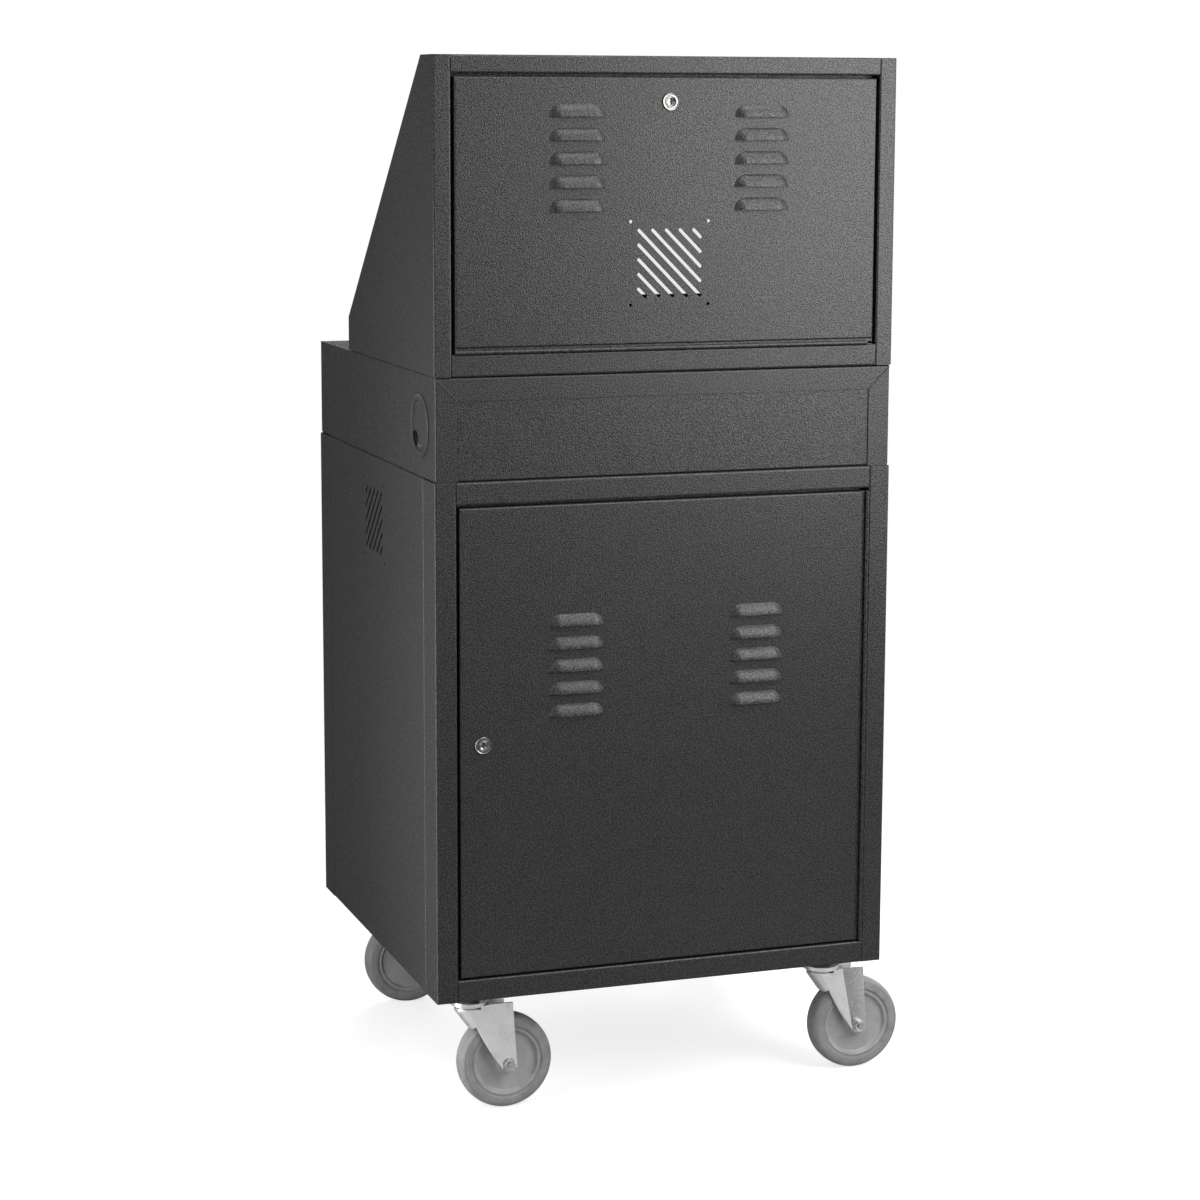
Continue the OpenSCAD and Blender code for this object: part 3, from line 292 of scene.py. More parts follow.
# Every node that isn't powder coated
FINISH_OF = {"window_pane": PANE, "grommet_liners": PLASTIC, "left_grommet_cap": PLASTIC,
             "right_grommet_cap": PLASTIC, "hinge_pins": ZINC, "caster_plates": ZINC,
             "caster_bolts": BOLTS, "drawer_fixed_slides": ZINC, "drawer_middle_slides": ZINC,
             "drawer_inner_slides": ZINC}
FINISH_OF.update({which + part: NICKEL for which in LOCKS for part in ("_lock_body", "_lock_plug")})
for corner in CORNERS:
    FINISH_OF.update({corner + "_fork": ZINC, corner + "_wheel": NYLON, corner + "_tyre": RUBBER})

for name, node in frame["nodes"].items():
    node.data.materials.clear()
    node.data.materials.append(FINISH_OF.get(name, COAT))


def turn(shape, profile, place, steps, closed=False):
    """Adds a turned form. The profile holds radii, and heights along the place's Z."""
    angles = [2 * math.pi * k / steps for k in range(steps)]
    rings = []
    for radius, height in profile:
        spokes = angles if radius else angles[:1]
        points = [(radius * MM * math.cos(angle), radius * MM * math.sin(angle), height * MM)
                  for angle in spokes]
        rings.append([shape.verts.new(place @ Vector(point)) for point in points])
    pairs = list(zip(rings, rings[1:]))
    if closed:
        pairs.append((rings[-1], rings[0]))
    for one, other in pairs:
        for k in range(steps):
            corners = [one[k % len(one)], one[(k + 1) % len(one)],
                       other[(k + 1) % len(other)], other[k % len(other)]]
            shape.faces.new(list(dict.fromkeys(corners)))


def tower(shape, outline, levels, place):
    """Adds a prism over a convex outline. Each level gives its height and how far it is drawn in."""
    rings = [
        [shape.verts.new(place @ Vector((x * draw * MM, y * draw * MM, height * MM))) for x, y in outline]
        for height, draw in levels
    ]
    shape.faces.new(list(reversed(rings[0])))
    shape.faces.new(rings[-1])
    count = len(outline)
    for low, high in zip(rings, rings[1:]):
        for k in range(count):
            shape.faces.new((low[k], low[(k + 1) % count], high[(k + 1) % count], high[k]))


def around(radius, count, start=0.0, sweep=360.0):
    """Points on an arc. A whole turn leaves its last point out."""
    parts = count if sweep == 360.0 else count - 1
    return [(radius * math.cos(math.radians(start + sweep * k / parts)),
             radius * math.sin(math.radians(start + sweep * k / parts))) for k in range(count)]


def piece(name, shape, finish):
    """Turns a built shape into an object whose faces point outwards."""
    bmesh.ops.remove_doubles(shape, verts=shape.verts, dist=SAME_POINT)
    bmesh.ops.recalc_face_normals(shape, faces=shape.faces)
    mesh = bpy.data.meshes.new(name)
    shape.to_mesh(mesh)
    shape.free()
    mesh.materials.append(finish)
    made = bpy.data.objects.new(name, mesh)
    bpy.context.scene.collection.objects.link(made)
    return made


def blocks(*boxes):
    """One cutter made of boxes, each given by its low and high corner."""
    shape = bmesh.new()
    for low, high in boxes:
        low, high = Vector(low) * MM, Vector(high) * MM
        middle, size = Matrix.Translation((low + high) / 2), Matrix.Diagonal((*(high - low), 1.0))
        bmesh.ops.create_cube(shape, size=1.0, matrix=middle @ size)
    return piece("grooves", shape, COAT)


def worked_in(made):
    """Makes what the modifiers give the object's own mesh."""
    bpy.context.view_layer.update()
    evaluated = made.evaluated_get(bpy.context.evaluated_depsgraph_get())
    made.data = bpy.data.meshes.new_from_object(evaluated)
    made.modifiers.clear()
    return made


def settled(made, crease=32.0):
    """Shades the mesh smooth up to a crease, flat faces kept flat, and works the modifiers in."""
    made.data.shade_smooth()
    made.data.set_sharp_from_angle(angle=math.radians(crease))
    level = made.modifiers.new("level", "WEIGHTED_NORMAL")
    level.keep_sharp, level.weight = True, 90
    return worked_in(made)


def cut(made, cutter):
    """Cuts one closed piece out of another and throws the cutter away."""
    tool = made.modifiers.new("cut", "BOOLEAN")
    tool.operation, tool.object, tool.solver = "DIFFERENCE", cutter, "EXACT"
    settled(made)
    bpy.data.objects.remove(cutter)


def body_of_node(node):
    bodies = frame["record"]["behaviour"]["bodies"]
    return next(body for body, members in bodies.items() if node in members)


def stands_for(made, body, slot, *nodes):
    """Says which body a piece rides on, and hides the nodes it replaces. The slot, naming where its finish
    comes from, is not used.
    """
    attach(made, body)
    if nodes:
        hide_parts(*nodes)


BEZEL = 2.4
BARREL_BORE, BARREL_END = 6.06, -22.4
THREAD_CREST, THREAD_ROOT, THREAD_PITCH, THREAD_START, THREAD_LEFT = 9.5, 9.08, 1.0, -6.2, 1.2
LOCK_NUT = 12.95
CAM_REACH, CAM_HALF, CAM_ROUND, CAM_EYE, CAM_SCREW = 35.5, 4.5, 2.5, 7.0, 3.9
KEYWAY = [(-0.9, -3.8), (0.9, -3.8), (0.9, 3.8), (-0.9, 3.8)]


def lock_place(node, outward):
    """The lock's axis as local Z, pointing out of the door, with the door's face on z = 0."""
    low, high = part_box(node)
    face = low.y + BEZEL * MM if outward < 0 else high.y - BEZEL * MM
    turn_round = 0.0 if outward < 0 else math.pi
    return (Matrix.Translation(((low.x + high.x) / 2, face, (low.z + high.z) / 2))
            @ Matrix.Rotation(turn_round, 4, "Z") @ Matrix.Rotation(math.pi / 2, 4, "X"))


def lock_case(which, place):
    """The body of a cam lock: bezel with its grooves, threaded barrel and nut."""
    node = which + "_lock_body"
    bezel = [(BARREL_BORE, BARREL_END), (BARREL_BORE, 1.55), (6.5, 2.1), (7.0, 2.25), (7.6, 2.1), (8.0, 1.1),
             (9.1, 1.1), (9.5, 2.0), (10.1, 2.35), (10.7, 2.35), (11.2, 1.9), (11.5, 1.0), (11.5, 0.0)]
    barrel = [(THREAD_CREST, 0.0), (THREAD_CREST, -5.4)]
    height = THREAD_START
    while height > BARREL_END + THREAD_LEFT:
        barrel += [(THREAD_CREST, height), (THREAD_ROOT, height - THREAD_PITCH / 2)]
        height -= THREAD_PITCH
    barrel += [(THREAD_CREST, BARREL_END + 0.5), (9.1, BARREL_END)]
    shape = bmesh.new()
    turn(shape, bezel + barrel, place, steps=72, closed=True)
    tower(shape, around(LOCK_NUT, 6, start=30.0), [(-5.0, 0.95), (-4.4, 1.0), (-1.55, 1.0)], place)
    made = settled(piece(which + "_lock_case", shape, NICKEL))
    stands_for(made, body_of_node(node), "nickel_plated_zinc", node)


def lock_core(which, place, cam_angle):
    """What turns in a cam lock: the plug with its keyway, then the cam and the screw that holds it."""
    node = which + "_lock_plug"
    shape = bmesh.new()
    turn(shape, [(0, 1.2), (2.2, 1.25), (4.0, 1.55), (4.9, 2.0), (5.5, 2.1), (5.95, 1.8), (5.95, -22.6),
                 (4.0, -22.62), (4.0, -24.7), (0, -24.7)], place, steps=64)
    plug = piece(which + "_lock_core", shape, NICKEL)
    shape = bmesh.new()
    tower(shape, KEYWAY, [(-2.0, 1.0), (4.0, 1.0)], place)
    cut(plug, piece("keyway", shape, NICKEL))
    shape = bmesh.new()
    shape.from_mesh(plug.data)
    way = place @ Matrix.Rotation(math.radians(cam_angle), 4, "Z")
    lower, upper = around(CAM_ROUND, 5, start=-90.0, sweep=90.0), around(CAM_ROUND, 5, sweep=90.0)
    outline = [(CAM_REACH + x, y - CAM_HALF) for x, y in lower]
    outline += [(CAM_REACH + x, y + CAM_HALF) for x, y in upper]
    outline += around(CAM_EYE, 17, start=90.0, sweep=180.0)
    tower(shape, outline, [(-24.65, 0.985), (-24.4, 1.0), (-22.9, 1.0), (-22.65, 0.985)], way)
    tower(shape, around(CAM_SCREW, 6), [(-26.1, 0.9), (-25.8, 1.0), (-24.6, 1.0)], way)
    shape.to_mesh(plug.data)
    shape.free()
    stands_for(settled(plug), body_of_node(node), "nickel_plated_zinc", node)


MOULDED_CREASE = 40.0
# One half of a wheel's profile, from its middle plane: the tyre from the tread inwards
TYRE = [(63.5, 0.12), (63.32, 0.35), (63.3, 3.5), (63.05, 7.0), (62.4, 10.0), (61.3, 12.5), (59.8, 14.4),
        (58.5, 15.3), (58.1, 15.35), (57.8, 14.95), (57.4, 14.95), (57.1, 15.45), (56.6, 15.65),
        (53.0, 15.95), (50.5, 16.0), (49.0, 15.8), (48.2, 15.2), (47.8, 14.4), (46.2, 14.2)]
# and the wheel centre from the hub outwards
CENTRE = [(4.06, 17.6), (4.4, 17.95), (9.4, 18.0), (10.0, 17.6), (10.2, 16.9), (12.6, 16.6), (13.6, 16.1),
          (14.0, 15.2), (14.4, 11.4), (15.4, 9.8), (17.2, 9.1), (22.0, 9.0), (33.0, 9.4), (38.6, 9.6),
          (40.4, 10.2), (41.6, 11.8), (42.4, 13.6), (43.3, 14.4), (45.0, 14.5), (45.9, 14.2)]


def wheel_part(node, name, half, place, finish, slot):
    """Turns a part of a wheel from one half of its profile and the mirror image of that."""
    shape = bmesh.new()
    whole = half + [(radius, -height) for radius, height in reversed(half)]
    turn(shape, whole, place, steps=128, closed=True)
    stands_for(settled(piece(name, shape, finish), MOULDED_CREASE), body_of_node(node), slot, node)


def wheel(corner):
    """Tyre with its mould line and side rings, on a wheel centre with hub, sunk web and rim."""
    low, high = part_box(corner + "_tyre")
    place = Matrix.Translation((low + high) / 2) @ Matrix.Rotation(math.pi / 2, 4, "X")
    wheel_part(corner + "_tyre", corner + "_tread", TYRE, place, RUBBER, "grey_rubber")
    wheel_part(corner + "_wheel", corner + "_wheel_centre", CENTRE, place, NYLON, "grey_wheel_centre")


FORK_EDGE, HINGE_EDGE, SHEET_EDGE = 0.8, 0.8, 0.7
FLAT_JOINT, SHARP_EDGE = 1.0, 28
AXLE_HEAD = 8.4


def eased_copy(node, name, finish, slot, radius):
    """A copy of a pressed part with its edges eased, as the press and the finish leave them."""
    shape = bmesh.new()
    shape.from_mesh(frame["nodes"][node].data)
    bmesh.ops.remove_doubles(shape, verts=shape.verts, dist=SAME_CAD_POINT)
    flat = math.radians(FLAT_JOINT)
    bmesh.ops.dissolve_limit(shape, angle_limit=flat, verts=shape.verts, edges=shape.edges)
    made = piece(name, shape, finish)
    ease = made.modifiers.new("ease", "BEVEL")
    ease.width, ease.segments = radius * MM, 2
    ease.limit_method, ease.angle_limit = "ANGLE", math.radians(SHARP_EDGE)
    stands_for(settled(made, 180.0), body_of_node(node), slot, node)
    return made


def yoke(corner):
    """A fork with eased edges, and bolt steel on what lies close round its axle."""
    made = eased_copy(corner + "_fork", corner + "_yoke", ZINC, "zinc_plated_steel", FORK_EDGE)
    made.data.materials.append(BOLTS)
    low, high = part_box(corner + "_tyre")
    axle = (low + high) / 2
    for face in made.data.polygons:
        away = face.center - axle
        if math.hypot(away.x, away.z) < AXLE_HEAD * MM:
            face.material_index = 1


# Where each cap's notch is turned to
NOTCH_AT = {"left": 135.0, "right": 45.0}
NOTCH_RADIUS, NOTCH_OUT, NOTCH_FLOOR, NOTCH_TOP = 12.0, 28, -6.0, 3.0
FLANGE, SLEEVE, SLEEVE_BORE, SLEEVE_DEPTH = 2.6, 35.2, 30, 16


def grommet(side):
    """Turning cap with a raised rim and a round cable notch. Gives back its axis, pointing outwards."""
    node = side + "_grommet_cap"
    low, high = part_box(node)
    outward = -1 if side == "left" else 1
    face = low.x if outward < 0 else high.x
    place = (Matrix.Translation((face, (low.y + high.y) / 2, (low.z + high.z) / 2))
             @ Matrix.Rotation(math.pi / 2 * outward, 4, "Y"))
    shape = bmesh.new()
    turn(shape, [(0, -0.9), (24.0, -0.9), (25.6, -0.75), (26.6, -0.1), (27.6, 0.0), (30.9, 0.0),
                 (31.7, -0.25), (32.0, -0.8), (32.0, -2.6), (31.5, -3.0), (0, -3.0)], place, steps=96)
    cap = piece(side + "_grommet_lid", shape, PLASTIC)
    shape = bmesh.new()
    turned = Matrix.Rotation(math.radians(NOTCH_AT[side]), 4, "Z")
    notch = place @ turned @ Matrix.Translation((NOTCH_OUT * MM, 0, 0))
    turn(shape, [(0, NOTCH_FLOOR), (NOTCH_RADIUS, NOTCH_FLOOR), (NOTCH_RADIUS, NOTCH_TOP), (0, NOTCH_TOP)],
         notch, steps=48)
    cut(cap, piece("notch", shape, PLASTIC))
    stands_for(settled(cap), body_of_node(node), "black_plastic", node)
    return place


def grommet_collars(*places):
    """The two liners, each with a rounded flange, a fine groove in it and the sleeve through the sheet."""
    shape = bmesh.new()
    for place in places:
        top = abs(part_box("grommet_liners")[0].x) / MM - abs(place.translation.x) / MM
        seat = top - FLANGE
        foot = seat - SLEEVE_DEPTH
        turn(shape, [(32.4, top - 0.35), (32.75, top), (34.3, top), (34.75, top - 0.5), (35.9, top - 0.5),
                     (36.35, top), (38.3, top), (39.6, top - 0.5), (40.3, top - 1.4), (40.5, seat),
                     (SLEEVE, seat), (SLEEVE, foot), (SLEEVE_BORE, foot), (SLEEVE_BORE, seat - 1),
                     (32.4, seat - 1)], place, steps=96, closed=True)
    made = settled(piece("grommet_collars", shape, PLASTIC))
    stands_for(made, body_of_node("grommet_liners"), "black_plastic", "grommet_liners")


LOUVRED = ("upper_door_panel", "rear_door_panel")
LOUVRE_OUT, HOOD_LEAST, LOUVRE_GAP, LIP_BAND = 6.5, 2, 5, 0.2
MARK_HEIGHT, MARK_THICKNESS, MARK_MIDDLE, MARK_PAST = 1.5, 1.1, 0.4, 4


def press_marks(node):
    """Shallow grooves that the louvre tool leaves under each lip of a door facing -Y, as one cutter."""
    low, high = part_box(node)
    spots = [vertex.co for vertex in frame["nodes"][node].data.vertices]
    face = low.y + LOUVRE_OUT * MM
    hoods = [spot for spot in spots if face - spot.y > HOOD_LEAST * MM]
    middle = (low.x + high.x) / 2
    shape = bmesh.new()
    for side in (-1, 1):
        column = [spot for spot in hoods if (spot.x - middle) * side > 0]
        heights = sorted(spot.z for spot in column)
        lips = [z for k, z in enumerate(heights) if k == 0 or z - heights[k - 1] > LOUVRE_GAP * MM]
        for lip in lips:
            ends = [spot.x for spot in column if abs(spot.z - lip) < LIP_BAND * MM]
            centre = (min(ends) + max(ends)) / 2
            half = max(ends) - centre + MARK_PAST * MM
            place = Matrix.Translation((centre, face + MARK_MIDDLE * MM, lip - MARK_HEIGHT / 2 * MM))
            size = Matrix.Diagonal((2 * half, MARK_THICKNESS * MM, MARK_HEIGHT * MM, 1))
            bmesh.ops.create_cube(shape, size=1.0, matrix=place @ size)
    return piece("press_marks", shape, COAT)


# How deep and how high the groove in each box's sides is
SIDE_SEAM = {"base": (1.1, 0.9), "mid": (1.25, 2.1), "upper": (1.25, 1.4)}
CUTTER_OUT, CUTTER_PAST = 0.4, 1
PANEL_HALF, PANEL_OVER = 280.0, 0.1
TOP_SEAM_DEPTH, TOP_SEAM_HEIGHT = 0.9, 1.2
END_SEAM_DEPTH, END_SEAM_WIDTH, END_SEAM_FOOT, END_SEAM_HEAD = 0.7, 0.8, 2, 1.5


def side_seam(node, made):
    """Deepens the joint along the top of a base side, or along the foot of a side above it."""
    box = node.split("_")[0]
    depth, height = SIDE_SEAM[box]
    low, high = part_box(node)
    outer = max(abs(low.x), abs(high.x)) / MM
    side = -1 if low.x < 0 else 1
    near, far = sorted((side * (outer + CUTTER_OUT), side * (outer - depth)))
    if box == "base":
        foot, head = high.z / MM - height, high.z / MM + CUTTER_PAST
    else:
        foot, head = low.z / MM - CUTTER_PAST, low.z / MM + height
    cut(made, blocks(((near, low.y / MM - CUTTER_PAST, foot), (far, high.y / MM + CUTTER_PAST, head))))


def panel_seams(node, made):
    """Deepens the joints along the top and both ends of the middle box's rear panel."""
    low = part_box(node)[0]
    face, edge = low.y / MM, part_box("mid_top")[0].z / MM
    front, foot, head = face - CUTTER_OUT, low.z / MM + END_SEAM_FOOT, edge - END_SEAM_HEAD
    top = ((-PANEL_HALF, front, edge - TOP_SEAM_HEIGHT),
           (PANEL_HALF, face + TOP_SEAM_DEPTH, edge + PANEL_OVER))
    left = ((-PANEL_HALF - PANEL_OVER, front, foot),
            (-PANEL_HALF + END_SEAM_WIDTH, face + END_SEAM_DEPTH, head))
    right = ((PANEL_HALF - END_SEAM_WIDTH, front, foot),
             (PANEL_HALF + PANEL_OVER, face + END_SEAM_DEPTH, head))
    cut(made, blocks(top, left, right))


def pressing(node):
    """A powder coated part: edges eased, joints deepened where the coat shrinks back, louvres marked."""
    radius = HINGE_EDGE if "hinge" in node else SHEET_EDGE
    made = eased_copy(node, node + "_pressing", COAT, "black_powder_coat", radius)
    if node.endswith("_side"):
        side_seam(node, made)
    elif node == "mid_rear_panel":
        panel_seams(node, made)
    elif node in LOUVRED:
        cut(made, press_marks(node))


BEAD, BEAD_END, BEAD_STEP = 0.9, 0.6, 0.2
BEAD_HEAD_IN, BEAD_HEAD_DOWN, BEAD_FOOT_AT, BEAD_FOOT_UP = 0.8, 1.3, 280.6, 0.4


def mitre_bead(name, side):
    """The ground weld along a mitre of the middle box's rear flanges."""
    low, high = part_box("mid_top")
    outer = Vector((side * (high.x - BEAD_HEAD_IN * MM), low.y, high.z - BEAD_HEAD_DOWN * MM))
    inner = Vector((side * BEAD_FOOT_AT * MM, low.y, low.z + BEAD_FOOT_UP * MM))
    run = inner - outer
    length = run.length / MM
    place = Matrix.Translation(outer) @ run.to_track_quat("Z", "X").to_matrix().to_4x4()
    shape = bmesh.new()
    turn(shape, [(0, 0), (BEAD_END, BEAD_STEP), (BEAD, BEAD), (BEAD, length - BEAD),
                 (BEAD_END, length - BEAD_STEP), (0, length)], place, steps=16)
    stands_for(settled(piece(name, shape, COAT)), "cabinet", "black_powder_coat")


def islands(node):
    """The separate solids of a node, each as a list of its corners, in an order that never changes."""
    shape = bmesh.new()
    shape.from_mesh(frame["nodes"][node].data)
    bmesh.ops.remove_doubles(shape, verts=shape.verts, dist=SAME_CAD_POINT)
    left, found = set(shape.verts), []
    while left:
        group, edge = set(), [left.pop()]
        while edge:
            vertex = edge.pop()
            group.add(vertex)
            near = {e.other_vert(vertex) for e in vertex.link_edges} & left
            left -= near
            edge += near
        corners = [vertex.co.copy() for vertex in group]
        found.append(sorted(corners, key=lambda corner: tuple(round(value, DECIMALS) for value in corner)))
    shape.free()

    def height_then_side(corners):
        return round(sum(c.z for c in corners), DECIMALS), round(sum(c.x for c in corners), DECIMALS)

    return sorted(found, key=height_then_side)


NUT_RADIUS, NUT_HEIGHT, NUT_SPACING, NUT_FROM_END = 4.6, 3.2, 95, 16
WASHER_RADIUS, WASHER_HEIGHT = 6.2, 1.0
STUD_TIP, STUD_ROOT, STUD_HEIGHT, STUD_MIDDLE = 1.6, 2.0, 1.0, 4.4
# The cosine under which two sides count as square to each other
SQUARE = 0.01
ROW_INPUTS = {"Count": "NodeSocketInt", "Start": "NodeSocketVector", "Step": "NodeSocketVector",
              "Nut radius": "NodeSocketFloat", "Nut height": "NodeSocketFloat",
              "Seed": "NodeSocketInt", "Finish": "NodeSocketMaterial"}


def nut_row_tree(name, out):
    """Geometry Nodes for a line of nuts with washers and stud ends, and their inputs' identifiers."""
    tree = bpy.data.node_groups.new(name, "GeometryNodeTree")
    sockets = {label: tree.interface.new_socket(label, in_out="INPUT", socket_type=kind).identifier
               for label, kind in ROW_INPUTS.items()}
    tree.interface.new_socket("Geometry", in_out="OUTPUT", socket_type="NodeSocketGeometry")
    given = tree.nodes.new("NodeGroupInput").outputs

    def add(kind, values, settings=None, output=0):
        return add_node(tree, kind, settings or {}, values).outputs[output]

    def raised(form, height):
        return add("GeometryNodeTransform", {"Geometry": form, "Translation": height})

    half = add("ShaderNodeMath", {0: given["Nut height"], 1: 0.5}, {"operation": "MULTIPLY"})
    nut = add("GeometryNodeMeshCylinder",
              {"Vertices": 6, "Radius": given["Nut radius"], "Depth": given["Nut height"]})
    washer = add("GeometryNodeMeshCylinder",
                 {"Vertices": 32, "Radius": WASHER_RADIUS * MM, "Depth": WASHER_HEIGHT * MM})
    stud = add("GeometryNodeMeshCone", {"Vertices": 20, "Radius Top": STUD_TIP * MM,
                                        "Radius Bottom": STUD_ROOT * MM, "Depth": STUD_HEIGHT * MM})
    parts = (raised(nut, add("ShaderNodeCombineXYZ", {"Z": half})),
             raised(washer, (0, 0, WASHER_HEIGHT / 2 * MM)),
             raised(stud, (0, 0, STUD_MIDDLE * MM)))
    joined = tree.nodes.new("GeometryNodeJoinGeometry")
    for part in parts:
        tree.links.new(part, joined.inputs[0])
    line = add("GeometryNodeMeshLine",
               {"Count": given["Count"], "Start Location": given["Start"], "Offset": given["Step"]})
    facing = add("FunctionNodeAlignRotationToVector", {"Vector": out}, {"axis": "Z"})
    placed = add("GeometryNodeInstanceOnPoints",
                 {"Points": line, "Instance": joined.outputs[0], "Rotation": facing})
    # The Random Value node's sockets for plain numbers go by number too
    least, most, number = 2, 3, 1
    turns = add("FunctionNodeRandomValue", {least: 0.0, most: math.pi / 3, "Seed": given["Seed"]},
                {"data_type": "FLOAT"}, number)
    turned = add("GeometryNodeRotateInstances",
                 {"Instances": placed, "Rotation": add("ShaderNodeCombineXYZ", {"Z": turns})})
    real = add("GeometryNodeRealizeInstances", {"Geometry": turned})
    done = add("GeometryNodeSetMaterial", {"Geometry": real, "Material": given["Finish"]})
    tree.links.new(done, tree.nodes.new("NodeGroupOutput").inputs[0])
    return tree, sockets


def row_of_nuts(name, corners):
    """Nuts with washers and stud ends along the middle of a clamping strip, given by its corners."""
    centre = sum(corners, Vector()) / len(corners)
    sides = sorted(((corner - corners[0]) for corner in corners[1:]), key=lambda side: side.length)
    across = sides[0].normalized()
    rest = [side for side in sides[1:] if abs(side.normalized().dot(across)) < SQUARE]
    wide, length = rest[0], max(rest, key=lambda side: side.length)
    along = (length - wide * (length.dot(wide) / wide.length_squared)).normalized()
    span = max((c - centre).dot(along) for c in corners) - NUT_FROM_END * MM
    out = across if across.y < 0 else -across
    face = centre + out * max((c - centre).dot(out) for c in corners)
    count = max(2, round(2 * span / (NUT_SPACING * MM)) + 1)
    tree, sockets = nut_row_tree(name, tuple(out))
    row = bpy.data.objects.new(name, bpy.data.meshes.new(name))
    bpy.context.scene.collection.objects.link(row)
    maker = row.modifiers.new("row", "NODES")
    maker.node_group = tree
    for label, value in (("Count", count), ("Start", tuple(face - along * span)),
                         ("Step", tuple(along * (2 * span / (count - 1)))), ("Nut radius", NUT_RADIUS * MM),
                         ("Nut height", NUT_HEIGHT * MM), ("Seed", SEED), ("Finish", BOLTS)):
        maker[sockets[label]] = value
    stands_for(worked_in(row), "cabinet", "zinc_plated_steel")


for which, (outward, cam_angle) in LOCKS.items():
    place = lock_place(which + "_lock_body", outward)
    lock_case(which, place)
    lock_core(which, place, cam_angle)
for corner in CORNERS:
    wheel(corner)
    yoke(corner)
grommet_collars(grommet("left"), grommet("right"))
for name in frame["nodes"]:
    if name not in FINISH_OF:
        pressing(name)
mitre_bead("left_mitre_weld", -1)
mitre_bead("right_mitre_weld", 1)
for index, strip in enumerate(islands("window_strips")):
    row_of_nuts(f"window_nuts_{index + 1}", strip)


def camera():
    """A long lens just under the height of the cabinet's top, off its left corner on the service side."""
    data = bpy.data.cameras.new("camera")
    data.lens, data.sensor_width = 86.51, 36.0
    data.shift_x, data.shift_y = 0.0, -0.04
    data.clip_start, data.clip_end = 0.05, 100.0
    seen = bpy.data.objects.new("camera", data)
    bpy.context.scene.collection.objects.link(seen)
    yaw, pitch, roll = math.radians(19.253), math.radians(8.894), math.radians(0.195)
    seen.matrix_world = (
        Matrix.Translation((-1.2910, -3.7301, 1.3117))
        @ Euler((math.pi / 2 - pitch, 0.0, -yaw)).to_matrix().to_4x4()
        @ Matrix.Rotation(roll, 4, "Z")
    )
    bpy.context.scene.camera = seen


def lamp(name, place, aim, width, height, watts, colour=(1.0, 1.0, 1.0)):
    """A soft lamp of a width and height in metres, at one place and aimed at another."""
    data = bpy.data.lights.new(name, "AREA")
    data.shape, data.size, data.size_y = "RECTANGLE", width, height
    data.energy, data.color = watts, colour
    light = bpy.data.objects.new(name, data)
    bpy.context.scene.collection.objects.link(light)
    way = Vector(aim) - Vector(place)
    light.matrix_world = Matrix.Translation(place) @ way.to_track_quat("-Z", "Y").to_matrix().to_4x4()


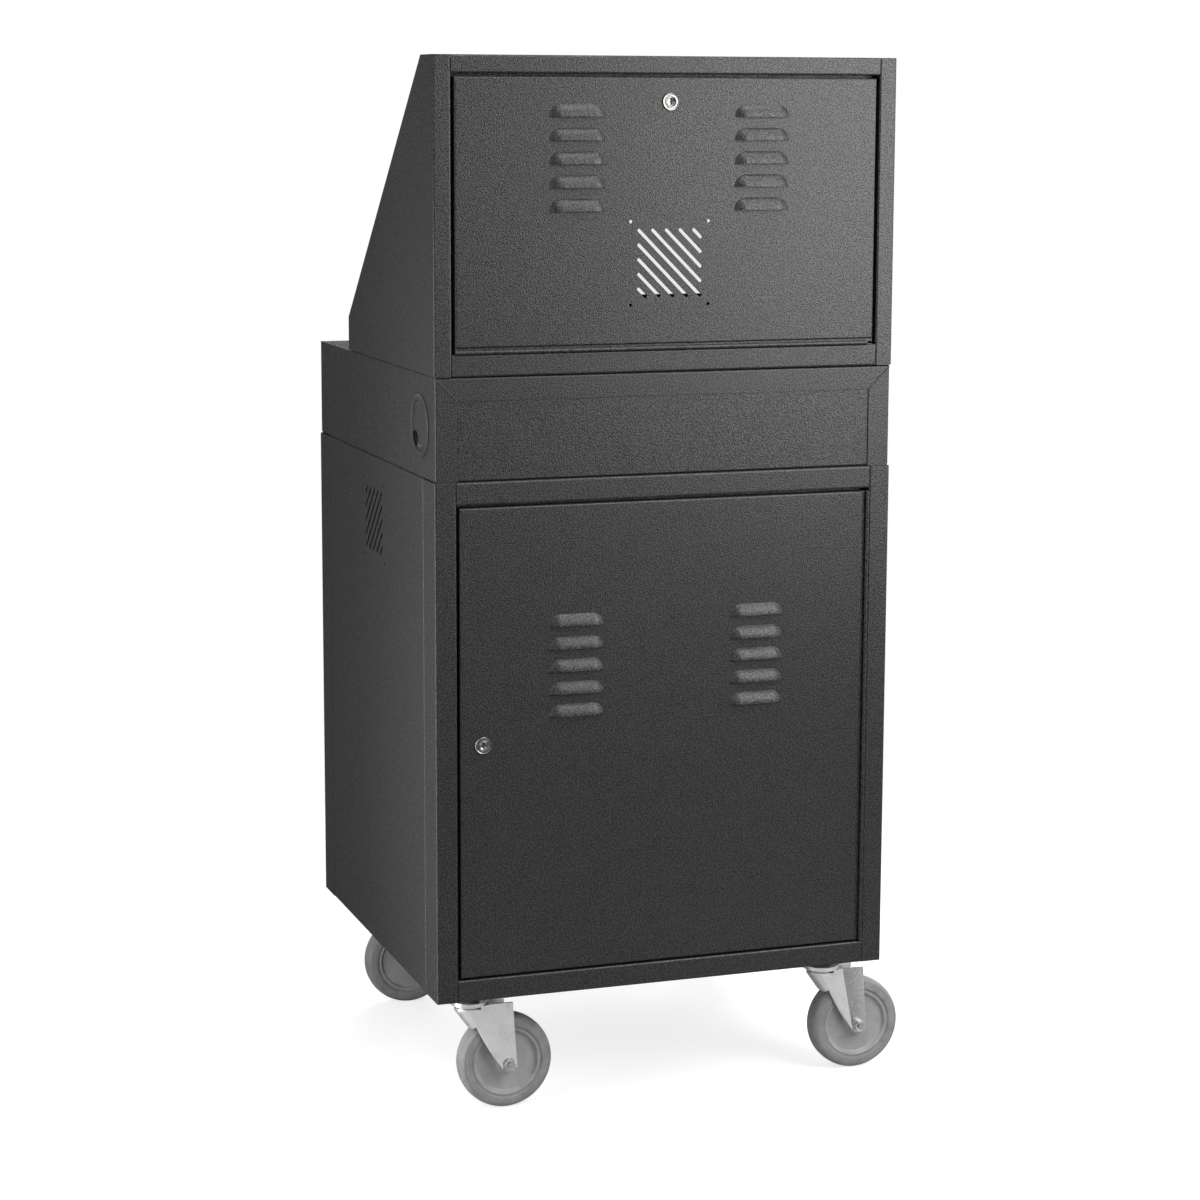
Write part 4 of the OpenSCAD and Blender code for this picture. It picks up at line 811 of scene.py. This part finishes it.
def studio():
    """White all round to the camera, in reflections and through the pane, and dim as a source of light."""
    light_strength, seen_strength, white = 0.26, 1.0, (1.0, 1.0, 1.0)
    world = bpy.data.worlds.new("studio")
    bpy.context.scene.world = world
    world.use_nodes = True
    tree = world.node_tree
    tree.nodes.clear()
    path = add_node(tree, "ShaderNodeLightPath", {}, {}).outputs
    either = {"operation": "ADD", "use_clamp": True}
    seen = add_node(tree, "ShaderNodeMath", either, {0: path["Is Camera Ray"], 1: path["Is Glossy Ray"]})
    through = add_node(tree, "ShaderNodeMath", either, {0: seen.outputs[0], 1: path["Is Transmission Ray"]})
    strength = add_node(tree, "ShaderNodeMapRange", {},
                        {"To Min": light_strength, "To Max": seen_strength, "Value": through.outputs[0]})
    glow = add_node(tree, "ShaderNodeBackground", {}, {"Color": white, "Strength": strength.outputs[0]})
    add_node(tree, "ShaderNodeOutputWorld", {}, {"Surface": glow.outputs[0]})

    lamp("key", (0.88, -1.34, 1.36), (0.1, -0.3, 1.03), 1.0, 1.3, 29.5, (1.0, 0.99, 0.975))
    lamp("left_strip", (-2.9, -1.1, 1.1), (-0.3, -0.1, 0.8), 0.2, 2.2, 20, (0.98, 0.99, 1.0))
    lamp("side_strip", (-0.66, -0.26, 0.56), (-0.31, -0.26, 0.56), 0.18, 1.12, 4.4)
    lamp("overhead", (0.5, -1.0, 2.85), (0.05, -0.3, 1.0), 1.7, 1.0, 34)
    lamp("right_strip", (2.6, -0.4, 1.15), (0.3, -0.3, 1.0), 0.4, 1.7, 16)
    lamp("back", (1.2, 3.0, 2.0), (0.0, 0.2, 0.8), 2.2, 1.8, 64)


def floor():
    """A pale floor that keeps the cabinet's shadow and goes over to plain white further out."""
    edge, shadow_end, white_from, lift_strength = 40.0, 0.6, 1.7, 0.72
    grey, white = (0.5, 0.5, 0.5), (1.0, 1.0, 1.0)
    paint = Finish("studio_floor")
    tree = paint.tree
    tree.nodes.remove(paint.shader)
    by_camera, through_pane = (paint.add("ShaderNodeLightPath", {}, {}, kind)
                               for kind in ("Is Camera Ray", "Is Transmission Ray"))
    seen = (by_camera + through_pane).held()
    reach = paint.add("ShaderNodeVectorMath", {"operation": "LENGTH"}, {0: paint.place}, "Value")
    far = reach.over(shadow_end, white_from)
    matt = paint.add("ShaderNodeBsdfDiffuse", {}, {"Color": grey})
    lift = paint.add("ShaderNodeEmission", {}, {"Color": white, "Strength": seen * lift_strength})
    plain = paint.add("ShaderNodeEmission", {}, {"Color": white, "Strength": 1.0})
    near = paint.add("ShaderNodeAddShader", {}, {0: matt, 1: lift})
    mixed = paint.add("ShaderNodeMixShader", {}, {0: far * seen, 1: near, 2: plain})
    set_socket(tree, paint.out.inputs["Surface"], mixed)
    mesh = bpy.data.meshes.new("studio_floor")
    corners = [(-edge, -edge, 0), (edge, -edge, 0), (edge, edge, 0), (-edge, edge, 0)]
    mesh.from_pydata(corners, [], [(0, 1, 2, 3)])
    mesh.materials.append(paint.material)
    ground = bpy.data.objects.new("studio_floor", mesh)
    bpy.context.scene.collection.objects.link(ground)


bpy.context.scene.view_settings.view_transform = "Standard"
camera()
studio()
floor()
